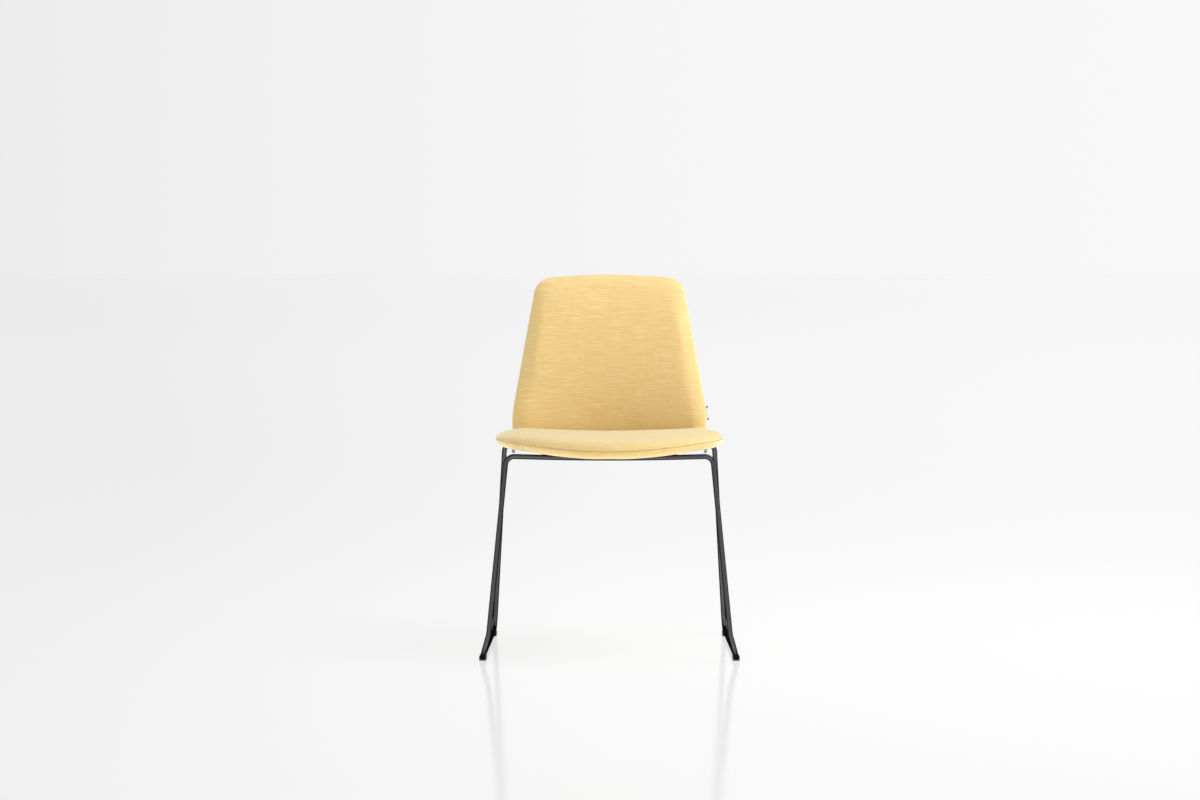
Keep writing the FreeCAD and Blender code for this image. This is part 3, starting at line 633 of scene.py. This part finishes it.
def seat_side():
    """The seat's plan from the middle of its front round the right side to the waist.

    The number of the point in the middle of the front corner comes with it.
    """
    front_centre = Vector((0, SEAT_FRONT + SEAT_FRONT_RADIUS))
    side_centre = Vector((SEAT_HALF - SEAT_SIDE_RADIUS, SEAT_WIDEST))
    waist_centre = Vector((WAIST_HALF + WAIST_RADIUS, BEND_START))
    reach = SEAT_FRONT_RADIUS - SEAT_CORNER_RADIUS
    other = SEAT_SIDE_RADIUS - SEAT_CORNER_RADIUS
    span = (side_centre - front_centre).length
    along = (reach * reach - other * other + span * span) / (2 * span)
    aside = math.sqrt(reach * reach - along * along)
    direction = (side_centre - front_centre).normalized()
    across = Vector((-direction.y, direction.x))
    corner_centre = max(
        (front_centre + direction * along + across * side * aside for side in (-1, 1)),
        key=lambda p: p.x)
    nose = Vector((0, SEAT_FRONT))
    front_end = front_centre + (corner_centre - front_centre).normalized() * SEAT_FRONT_RADIUS
    side_start = side_centre + (corner_centre - side_centre).normalized() * SEAT_SIDE_RADIUS
    side_end = side_centre + (waist_centre - side_centre).normalized() * SEAT_SIDE_RADIUS
    waist = Vector((WAIST_HALF, BEND_START))
    front = arc(front_centre, SEAT_FRONT_RADIUS, nose, front_end)
    corner = arc(corner_centre, SEAT_CORNER_RADIUS, front_end, side_start)
    rest = arc(side_centre, SEAT_SIDE_RADIUS, side_start, side_end)
    rest += arc(waist_centre, WAIST_RADIUS, side_end, waist)
    return front + corner + rest, len(front) + len(corner) // 2


def back_side():
    """The back's flat outline from its widest place up the right side to the middle of the top.

    The number of the point in the middle of the top corner comes with it.
    """
    side_centre = Vector((WAIST_HALF - BACK_SIDE_RADIUS, BACK_WIDEST))
    outward = Vector((math.cos(BACK_TAPER), math.sin(BACK_TAPER)))
    upward = Vector((-math.sin(BACK_TAPER), math.cos(BACK_TAPER)))
    side_end = side_centre + outward * BACK_SIDE_RADIUS
    top_centre = Vector((0, BACK_TOP - BACK_TOP_RADIUS))
    to_path = side_end - outward * BACK_CORNER_RADIUS - top_centre
    along = to_path.dot(upward)
    clear = to_path.dot(to_path) - (BACK_TOP_RADIUS - BACK_CORNER_RADIUS) ** 2
    corner_centre = top_centre + to_path + upward * (math.sqrt(along * along - clear) - along)
    corner_start = corner_centre + outward * BACK_CORNER_RADIUS
    corner_end = top_centre + (corner_centre - top_centre).normalized() * BACK_TOP_RADIUS
    side = arc(side_centre, BACK_SIDE_RADIUS, Vector((WAIST_HALF, BACK_WIDEST)), side_end)
    side += line(side_end, corner_start)
    corner = arc(corner_centre, BACK_CORNER_RADIUS, corner_start, corner_end, CORNER_STEP)
    peak = Vector((0, BACK_TOP))
    top = arc(top_centre, BACK_TOP_RADIUS, corner_end, peak) + [peak]
    points = [Vector((p.x, back_distance(p.y))) for p in side + corner + top]
    return points, len(side) + len(corner) // 2


def resample(points, count):
    """A run of points respaced evenly, both ends kept."""
    reach = [0.0]
    for start, end in zip(points, points[1:]):
        reach.append(reach[-1] + (end - start).length)
    result = []
    index = 0
    for k in range(count + 1):
        wanted = reach[-1] * k / count
        while index < len(points) - 2 and reach[index + 1] < wanted:
            index += 1
        share = (wanted - reach[index]) / (reach[index + 1] - reach[index])
        result.append(points[index].lerp(points[index + 1], min(max(share, 0.0), 1.0)))
    return result


def length(points):
    """Length of a run of points."""
    return sum((end - start).length for start, end in zip(points, points[1:]))


# ---------------------------------------------------------------- upholstery
class Pad:
    """A padded piece on the shell: a grid over its outline, a rolled edge and a flat back."""

    def __init__(self, course, right_side, corners, thickness, roll, floor):
        """The outline is its right half, from the front middle to the rear middle.

        Two of its points, named by their numbers, become the corners of the grid.
        """
        self.course = course
        self.thickness = thickness
        self.roll = roll
        self.floor = floor
        first, second = corners
        lower = right_side[:first + 1]
        flank = right_side[first:second + 1]
        upper = right_side[second:]
        half = round(length(lower) / CELL)
        self.columns = 2 * half
        self.rows = round(length(flank) / CELL)
        right = resample(lower, half) + resample(flank, self.rows)[1:] + resample(upper, half)[1:]
        left = [Vector((-p.x, p.y)) for p in reversed(right[1:-1])]
        ring = right + left
        self.ring = ring[-half:] + ring[:-half]
        self.count = len(self.ring)
        self.outward = self.ring_normals()
        self.profiles = [self.edge_rows(index) for index in range(self.count)]

    def ring_normals(self):
        """Outward direction at each point of the ring, which runs anticlockwise."""
        normals = []
        for index in range(self.count):
            along = self.ring[(index + 1) % self.count] - self.ring[index - 1]
            normals.append(Vector((along.y, -along.x)).normalized())
        for _ in range(NORMAL_SMOOTHING):
            normals = [
                (normals[k - 1] + normals[k] * 2 + normals[(k + 1) % self.count]).normalized()
                for k in range(self.count)
            ]
        return normals

    def on_border(self, column, row):
        """Whether a place of the grid lies on its border."""
        return column in (0, self.columns) or row in (0, self.rows)

    def ring_index(self, column, row):
        """Number of the ring point at a border place of the grid."""
        if row == 0:
            return column
        if column == self.columns:
            return self.columns + row
        if row == self.rows:
            return 2 * self.columns + self.rows - column
        return (2 * self.columns + 2 * self.rows - row) % self.count

    def edge_rows(self, index):
        """The rolled edge at one ring point: inset and height from the seam up to the crown.

        The roll drops away from the crown's own height, so that the two meet without a crease
        where it has no bevel, and with a soft one where part of it falls in a straight line.
        """
        place = self.ring[index]
        inset, rise, bevel = self.roll(place.x, place.y)
        floor = self.floor(place.x, place.y)
        edge = self.thickness(place.x, place.y)
        sign = 1.0 if edge > 0 else -1.0
        drop = min(rise, abs(edge) - abs(floor) - SHOULDER)
        rows = [(share * SEAM_GROOVE, floor + sign * lift) for share, lift in GROOVE_STEPS]
        for step in range(ROLL_STEPS + 1):
            angle = math.pi / 2 * step / ROLL_STEPS
            own = inset * (1 - math.cos(angle))
            inner = place - self.outward[index] * own
            fall = drop * ((1 - bevel) * (1 - math.sin(angle)) + bevel * math.cos(angle))
            rows.append((own, self.thickness(inner.x, inner.y) - sign * fall))
        return rows

    def patch(self, border):
        """A grid of flat places spread over a border, by blending its four sides."""
        columns, rows = self.columns, self.rows

        def at(i, j):
            return border[self.ring_index(i, j)]

        def inside(i, j):
            u, v = i / columns, j / rows
            sides = at(i, 0) * (1 - v) + at(i, rows) * v + at(0, j) * (1 - u) + at(columns, j) * u
            corners = (at(0, 0) * ((1 - u) * (1 - v)) + at(columns, 0) * (u * (1 - v))
                       + at(0, rows) * ((1 - u) * v) + at(columns, rows) * (u * v))
            return sides - corners

        return [
            [at(i, j) if self.on_border(i, j) else inside(i, j) for i in range(columns + 1)]
            for j in range(rows + 1)
        ]

    def edge_places(self, level):
        """The ring at one level of the rolled edge: places, heights and places unrolled flat."""
        for index, profile in enumerate(self.profiles):
            inset, height = profile[level]
            unrolled = 0.0
            for (i0, h0), (i1, h1) in zip(profile[level:], profile[level + 1:]):
                unrolled += math.hypot(i1 - i0, h1 - h0)
            flat = self.ring[index] + self.outward[index] * (unrolled - profile[-1][0])
            yield self.ring[index] - self.outward[index] * inset, height, flat

    def inset_ring(self, level):
        """The ring's flat places, drawn in to a level of the rolled edge."""
        return [self.ring[k] - self.outward[k] * self.profiles[k][level][0]
                for k in range(self.count)]

    def build(self, name):
        """The closed mesh, with the weave's flat pattern as its UV map in metres."""
        mesh = bmesh.new()
        pattern = {}

        def vertex(place, height, flat):
            item = mesh.verts.new(shell_point(place.x, place.y, height, self.course) * MM)
            pattern[item] = flat * MM
            return item

        levels = range(len(self.profiles[0]) - 1)
        rings = [[vertex(*places) for places in self.edge_places(level)] for level in levels]
        top = [[vertex(p, self.thickness(p.x, p.y), p) for p in row]
               for row in self.patch(self.inset_ring(-1))]
        under = [[rings[0][self.ring_index(i, j)] if self.on_border(i, j)
                  else vertex(p, self.floor(p.x, p.y), p) for i, p in enumerate(row)]
                 for j, row in enumerate(self.patch(self.inset_ring(0)))]
        faces = []
        for j in range(self.rows):
            for i in range(self.columns):
                faces.append([top[j][i], top[j][i + 1], top[j + 1][i + 1], top[j + 1][i]])
                faces.append([under[j + 1][i], under[j + 1][i + 1], under[j][i + 1], under[j][i]])
        border = {self.ring_index(i, j): item for j, row in enumerate(top)
                  for i, item in enumerate(row) if self.on_border(i, j)}
        rings.append([border[k] for k in range(self.count)])
        for lower, upper in zip(rings, rings[1:]):
            for k in range(self.count):
                after = (k + 1) % self.count
                faces.append([lower[k], lower[after], upper[after], upper[k]])
        flip = self.thickness(0.0, self.ring[0].y) < 0
        for corners in faces:
            mesh.faces.new(reversed(corners) if flip else corners)
        layer = mesh.loops.layers.uv.new("weave")
        for face in mesh.faces:
            face.smooth = True
            for loop in face.loops:
                loop[layer].uv = pattern[loop.vert]
        mesh.verts.index_update()
        still = rings[:len(GROOVE_STEPS)] + under
        self.held = {item.index for row in still for item in row}
        data = bpy.data.meshes.new(name)
        mesh.to_mesh(data)
        mesh.free()
        piece = bpy.data.objects.new(name, data)
        bpy.context.scene.collection.objects.link(piece)
        return piece


def blend(value, start, end):
    """0 before start, 1 after end, and a smooth rise between."""
    share = min(max((value - start) / (end - start), 0.0), 1.0)
    return share * share * (3 - 2 * share)


def mix(first, second, share):
    """Numbers between two sets of numbers."""
    return tuple(a + (b - a) * share for a, b in zip(first, second))


def swell(piece, pad, pressure, most):
    """Puff a pad up with a short cloth simulation, held along its seam, by so much at most."""
    pins = piece.vertex_groups.new(name="seam")
    pins.add(list(pad.held), 1.0, "REPLACE")
    before = [v.co.copy() for v in piece.data.vertices]
    activate(piece)
    cloth = piece.modifiers.new("cloth", "CLOTH")
    for name, value in CLOTH.items():
        setattr(cloth.settings, name, value)
    cloth.settings.uniform_pressure_force = pressure
    cloth.settings.effector_weights.gravity = 0
    cloth.collision_settings.use_collision = False
    scene = bpy.context.scene
    for step in range(1, SWELL_FRAMES + 1):
        scene.frame_set(step)
    bpy.ops.object.modifier_apply(modifier="cloth")
    scene.frame_set(1)
    moved = [vertex.co - old for vertex, old in zip(piece.data.vertices, before)]
    moved = [step * min(1.0, most * MM / max(step.length, 1e-9)) for step in moved]
    around = [[] for _ in moved]
    for first, second in (edge.vertices for edge in piece.data.edges):
        around[first].append(second)
        around[second].append(first)
    for _ in range(SWELL_SMOOTHING):
        moved = [
            step if index in pad.held
            else (step + sum((moved[k] for k in near), Vector())) / (len(near) + 1)
            for index, (step, near) in enumerate(zip(moved, around))
        ]
    for vertex, old, step in zip(piece.data.vertices, before, moved):
        vertex.co = old + step
    piece.vertex_groups.clear()


def seat_crown(x, _s):
    """Thickness of the seat upholstery over the shell."""
    own = SEAT_CROWN - math.sqrt((SEAT_CROWN - SEAT_PAD) ** 2 - x * x)
    return own - dish(x)


def back_crown(x, s):
    """Thickness of the back upholstery before the shell, hollowed more near the seat."""
    hollow = LOW_HOLLOW + (HIGH_HOLLOW - LOW_HOLLOW) * blend(s, *HOLLOW_RUN)
    own = hollow - math.sqrt((hollow - BACK_PAD) ** 2 - x * x)
    return own - dish(x)


def under_depth(x, s):
    """Thickness of the upholstery behind the shell, thick under the seat and thin up the back."""
    share = blend(s, *THINNING_RUN)
    outward = math.hypot(x / SEAT_HALF, (s - SEAT_WIDEST) / (SEAT_WIDEST - SEAT_FRONT))
    rim = blend(outward, *RIM_BAND) * (1 - blend(s, *RIM_END))
    return -(BASE_PAD + (REAR_PAD - BASE_PAD) * share + RIM_EXTRA * rim)


def rear_line(x):
    """Where the seat's upholstery meets the front of the back."""
    return FOOT_Y - BACK_PAD - TUCK_LEAN - x * x / 2 / (BACK_HOLLOW - BACK_PAD)


def make_seat_pad():
    """The upholstered top of the seat, from the front edge back to the backrest."""
    side, corner = seat_side()
    rear_corner = Vector((WAIST_HALF, rear_line(WAIST_HALF)))
    side += line(Vector((WAIST_HALF, BEND_START)), rear_corner)
    last = len(side)
    for k in range(REAR_LINE_STEPS + 1):
        x = WAIST_HALF * (1 - k / REAR_LINE_STEPS)
        side.append(Vector((x, rear_line(x))))

    def roll(x, s):
        start, end = (rear_line(x) - before for before in SEAT_TUCK)
        return mix(SEAT_ROLL, TUCK_ROLL, blend(s, start, end))

    def floor(_x, s):
        return bend_rise(s - BEND_START)

    pad = Pad("seat", side, (corner, last), seat_crown, roll, floor)
    piece = pad.build("seat_upholstery")
    swell(piece, pad, SWELL_PRESSURE, SWELL_MOST)
    finish_piece(piece, FABRIC, "fabric", "seat_cover", "seat_foam")


def make_back_pad():
    """The upholstered front of the back, tucked down behind the seat."""
    side, corner = back_side()
    low_s = FOOT - TUCK_DEPTH
    start = Vector((WAIST_HALF, low_s))
    bottom = [Vector((0, low_s))] + line(Vector((STEP, low_s)), start)
    flank = line(start, side[0])
    last = len(bottom) + len(flank) + corner
    tuck_start, tuck_end = (low_s + above for above in BACK_TUCK)

    def floor(_x, s):
        return bend_rise(FOOT - s)

    def roll(_x, s):
        edge = mix(LOW_BACK_ROLL, BACK_ROLL, blend(s, *HOLLOW_RUN))
        return mix(edge, TUCK_ROLL, 1 - blend(s, tuck_start, tuck_end))

    pad = Pad("back", bottom + flank + side, (len(bottom), last), back_crown, roll, floor)
    piece = pad.build("back_upholstery")
    swell(piece, pad, SWELL_PRESSURE, SWELL_MOST)
    finish_piece(piece, FABRIC, "fabric", "back_cover", "back_foam")


def make_under_pad():
    """The upholstery under the seat and up behind the back, in one piece round the bend."""
    seat, seat_corner = seat_side()
    back, back_corner = back_side()
    flank = line(Vector((WAIST_HALF, BEND_START)), back[0])
    last = len(seat) + len(flank) + back_corner

    def roll(x, s):
        rim = mix(BASE_ROLL, SIDE_ROLL, blend(x * x, *SIDE_ROLL_RUN))
        return mix(rim, REAR_ROLL, blend(s, *REAR_ROLL_RUN))

    def floor(_x, _s):
        return 0.0

    pad = Pad("shell", seat + flank + back, (seat_corner, last), under_depth, roll, floor)
    piece = pad.build("under_upholstery")
    swell(piece, pad, SWELL_PRESSURE / 2, SWELL_MOST / 2)
    finish_piece(piece, FABRIC, "fabric", "base_pad", "rear_pad")


# ---------------------------------------------------------------- small parts
def cylinder(vertices, radius, depth, place):
    """An upright cylinder about a place."""
    bpy.ops.mesh.primitive_cylinder_add(
        vertices=vertices, radius=radius * MM, depth=depth * MM, location=Vector(place) * MM)
    return bpy.context.object


def make_screw(x, y, base):
    """A button head screw with a hexagon socket, its head down."""
    head = cylinder(32, HEAD_RADIUS, HEAD_HEIGHT, (x, y, base + HEAD_HEIGHT / 2))
    apply_modifier(head, "BEVEL", width=HEAD_ROUNDING * MM, segments=5, limit_method="ANGLE")
    socket = cylinder(6, SOCKET_RADIUS, 2 * SOCKET_DEPTH, (x, y, base))
    apply_modifier(head, "BOOLEAN", object=socket, operation="DIFFERENCE", solver="EXACT")
    bpy.data.objects.remove(socket)
    middle = base + HEAD_HEIGHT + SHANK_LENGTH / 2
    return head, cylinder(24, SHANK_RADIUS, SHANK_LENGTH, (x, y, middle))


def make_screws():
    """The four mounting screws as one piece."""
    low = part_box("mounting_screws")[0][2] / MM
    parts = []
    for x in SCREW_X:
        for y in SCREW_Y:
            parts.extend(make_screw(x, y, low))
    screws = join(parts, "button_screws")
    finish_piece(screws, ZINC, "zinc", "mounting_screws")


def make_tab():
    """A plain tape folded into the back's edge seam, and the two bar tacks that hold it."""
    low, high = (Vector(corner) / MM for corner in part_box("side_tab"))
    middle = (low + high) / 2 + TAB_SET_IN

    def lean_and_place():
        bpy.ops.transform.rotate(value=TAB_LEAN, orient_axis="Y", center_override=(0, 0, 0))
        bpy.ops.transform.translate(value=middle * MM)
        bpy.ops.object.mode_set(mode="OBJECT")

    bpy.ops.mesh.primitive_cube_add(size=1)
    tab = bpy.context.object
    tab.name = "seam_tab"
    edit_all()
    bpy.ops.transform.resize(value=(high - low) * MM)
    lean_and_place()
    apply_modifier(tab, "BEVEL", width=TAB_EDGE * MM, segments=3, limit_method="ANGLE")
    smooth(tab)
    out = (high.x - low.x) / 2 - TACK_LENGTH / 2 + TACK_OVERHANG
    stretch = (TACK_WRAP * (high.y - low.y) + TACK_RADIUS) / (2 * TACK_RADIUS)
    tacks = []
    for end in (-1, 1):
        edge = end * ((high.z - low.z) / 2 - TACK_MARGIN)
        for row in range(TACK_ROWS):
            up = edge + (row - (TACK_ROWS - 1) / 2) * TACK_PITCH
            bpy.ops.mesh.primitive_cylinder_add(
                vertices=12, radius=TACK_RADIUS * MM, depth=TACK_LENGTH * MM,
                rotation=(0, math.pi / 2, 0))
            tacks.append(bpy.context.object)
            bpy.ops.object.transform_apply(location=True, rotation=True, scale=True)
            edit_all()
            bpy.ops.transform.resize(value=(1, stretch, 1))
            bpy.ops.transform.translate(value=(out * MM, 0, up * MM))
            lean_and_place()
    stitches = join(tacks, "tab_stitches")
    finish_piece(tab, TAPE, "tape", "side_tab")
    finish_piece(stitches, THREAD, "tape")


def make_small_parts():
    """Glides, rails, washers and buffers with softened edges, and the hidden parts' finishes."""
    for place in ("front_left", "front_right", "rear_left", "rear_right"):
        softened_copy(
            "glide_" + place, "saddle_glide_" + place, GLIDE_EDGE, BLACK_NYLON, "plastic")
    for side in ("left", "right"):
        softened_copy("seat_rail_" + side, "flat_rail_" + side, RAIL_EDGE, BLACK_COAT, "frame")
        softened_copy("seat_buffer_" + side, "rubber_buffer_" + side, BUFFER_EDGE, RUBBER, "rubber")
    softened_copy("washers", "plain_washers", WASHER_EDGE, ZINC, "zinc")
    dress_node("tee_nuts", ZINC)
    dress_node("spacer_sleeves", BLACK_NYLON)
    dress_node("plywood_shell", PLYWOOD)


# ---------------------------------------------------------------- the chair
make_rod_frame()
make_seat_pad()
make_back_pad()
make_under_pad()
make_screws()
make_small_parts()
make_tab()

# ---------------------------------------------------------------- studio
WHITE = (1, 1, 1, 1)
# Tones of the backdrop at the left, straight ahead and at the right, and where the change ends
DIM_SIDE = 0.84
PALE = 0.912
BRIGHT_SIDE = 0.94
SIDE_REACH = 0.2
# How high over the floor's middle its directions start
STAND_OFF = 6.5
# Strength of the surroundings as light, and of the floor's glow on the chair
AMBIENT = 0.58
BOUNCE = 0.75
# The share of the light on the floor that the camera sees, and so the depth of its shadows; the
# gain and the cut keep the open floor near the backdrop's tone
LIT_SHARE = 0.11
FLOOR_GAIN = 1 / (1 - LIT_SHARE)
FLOOR_CUT = -LIT_SHARE * (AMBIENT + BOUNCE) * FLOOR_GAIN
FLOOR_SIZE = 400
GLOSS_SHARE = 0.42
GLOSS_MOST = 0.42
GLOSS_IOR = 1.45
GLOSS_ROUGHNESS = 0.12

# Name, place, size in metres, power in watts, and whether it lights the floor
LAMPS = (
    ("overhead", (1.3, -0.1, 2.6), 1.3, 56, True),
    ("right_side", (3.1, -0.85, 1.45), 1.3, 29, False),
    ("left_fill", (-3.0, -1.0, 1.2), 1.4, 13, False),
    ("low_front", (-0.6, -3.4, 0.5), 0.5, 6, False),
)
LAMP_AIM = Vector((0, 0, 0.5))
CAMERA_LENS = 89.22
CAMERA_PLACE = (0, -6.534, 0.851)
CAMERA_TILT = math.radians(90 - 2.673)
CAMERA_TURN = math.radians(0.183)


def backdrop_group():
    """Tone of floor and surroundings by direction, from a dimmer left to a brighter right."""
    tree, entry, leave = group("backdrop_tone", {"Direction": "Vector"}, {"Tone": "Float"})
    ahead = add(tree, "ShaderNodeVectorMath", {0: entry.outputs["Direction"]},
                operation="NORMALIZE").outputs[0]
    across = add(tree, "ShaderNodeSeparateXYZ", {0: ahead}).outputs["X"]
    left = carry(tree, across, -SIDE_REACH, 0.0, DIM_SIDE, PALE)
    right = carry(tree, across, 0.0, SIDE_REACH, 0.0, BRIGHT_SIDE - PALE)
    fill(tree, leave, {"Tone": calculate(tree, "ADD", left, right)})
    return tree


def backdrop_tone(tree, direction):
    """The backdrop's tone in a direction."""
    return add(tree, "ShaderNodeGroup", {"Direction": direction}, node_tree=BACKDROP).outputs[0]


def layer(tree, factor, under, over):
    """One shader over another, by a factor."""
    sockets = {0: factor, 1: under.outputs[0], 2: over.outputs[0]}
    return add(tree, "ShaderNodeMixShader", sockets)


def make_floor():
    """A pale glossy floor that keeps the chair's soft shadow and reflection, clear from below."""
    bpy.ops.mesh.primitive_plane_add(size=FLOOR_SIZE)
    floor = bpy.context.object
    floor.name = "studio_floor"
    material, tree, shader = new_material("studio_floor")
    fill(tree, shader, {
        "Base Color": WHITE, "Roughness": 0.9, "Specular IOR Level": 0.0,
        "Emission Color": WHITE, "Emission Strength": BOUNCE})
    place = add(tree, "ShaderNodeTexCoord").outputs["Object"]
    ahead = add(tree, "ShaderNodeVectorMath", {0: place, 1: (0, 0, STAND_OFF)}, operation="ADD")
    tone = backdrop_tone(tree, ahead.outputs[0])
    level = calculate(tree, "MULTIPLY_ADD", tone, FLOOR_GAIN, FLOOR_CUT)
    glow = add(tree, "ShaderNodeEmission", {"Color": WHITE, "Strength": level})
    shine = add(tree, "ShaderNodeBsdfAnisotropic", {"Color": WHITE, "Roughness": GLOSS_ROUGHNESS})
    seen = add(tree, "ShaderNodeLightPath").outputs["Is Camera Ray"]
    lit = layer(tree, calculate(tree, "MULTIPLY", seen, 1 - LIT_SHARE), shader, glow)
    grazing = add(tree, "ShaderNodeFresnel", {"IOR": GLOSS_IOR}).outputs[0]
    sheen = calculate(
        tree, "MULTIPLY", calculate(tree, "MINIMUM", grazing, GLOSS_MOST), GLOSS_SHARE)
    polished = layer(tree, calculate(tree, "MULTIPLY", seen, sheen), lit, shine)
    below = add(tree, "ShaderNodeNewGeometry").outputs["Backfacing"]
    whole = layer(tree, below, polished, add(tree, "ShaderNodeBsdfTransparent"))
    fill(tree, tree.nodes["Material Output"], {"Surface": whole.outputs[0]})
    floor.data.materials.append(material)
    return floor


def make_world():
    """Surroundings with the backdrop's tone to camera and reflections, and milder as light."""
    world = bpy.data.worlds.new("studio")
    bpy.context.scene.world = world
    world.use_nodes = True
    tree = world.node_tree
    path = add(tree, "ShaderNodeLightPath")
    direct = calculate(
        tree, "MAXIMUM", path.outputs["Is Camera Ray"], path.outputs["Is Glossy Ray"])
    tone = backdrop_tone(tree, add(tree, "ShaderNodeTexCoord").outputs["Generated"])
    strength = carry(tree, direct, 0.0, 1.0, AMBIENT, tone)
    fill(tree, tree.nodes["Background"], {"Color": WHITE, "Strength": strength})


def make_lamp(name, place, size, power):
    """A soft square lamp turned to the chair, unseen by the camera."""
    data = bpy.data.lights.new(name, "AREA")
    data.size = size
    data.energy = power
    lamp = bpy.data.objects.new(name, data)
    bpy.context.scene.collection.objects.link(lamp)
    lamp.location = place
    lamp.rotation_euler = (LAMP_AIM - Vector(place)).to_track_quat("-Z", "Y").to_euler()
    lamp.visible_camera = False
    return lamp


def spare_floor(lamp, floor):
    """Keep a lamp's light and its mirror image off the floor."""
    lit = bpy.data.collections.new(lamp.name + "_lit")
    lit.objects.link(floor)
    lit.collection_objects[0].light_linking.link_state = "EXCLUDE"
    lamp.light_linking.receiver_collection = lit


def make_camera():
    """A long lens at sitting height in front of the chair."""
    data = bpy.data.cameras.new("camera")
    data.lens = CAMERA_LENS
    data.sensor_width = 36
    data.clip_end = 1000
    camera = bpy.data.objects.new("camera", data)
    bpy.context.scene.collection.objects.link(camera)
    camera.location = CAMERA_PLACE
    camera.rotation_euler = (CAMERA_TILT, 0, CAMERA_TURN)
    bpy.context.scene.camera = camera


BACKDROP = backdrop_group()
floor = make_floor()
make_world()
for name, place, size, power, lights_floor in LAMPS:
    lamp = make_lamp(name, place, size, power)
    if not lights_floor:
        spare_floor(lamp, floor)
make_camera()
bpy.context.scene.view_settings.view_transform = "Standard"
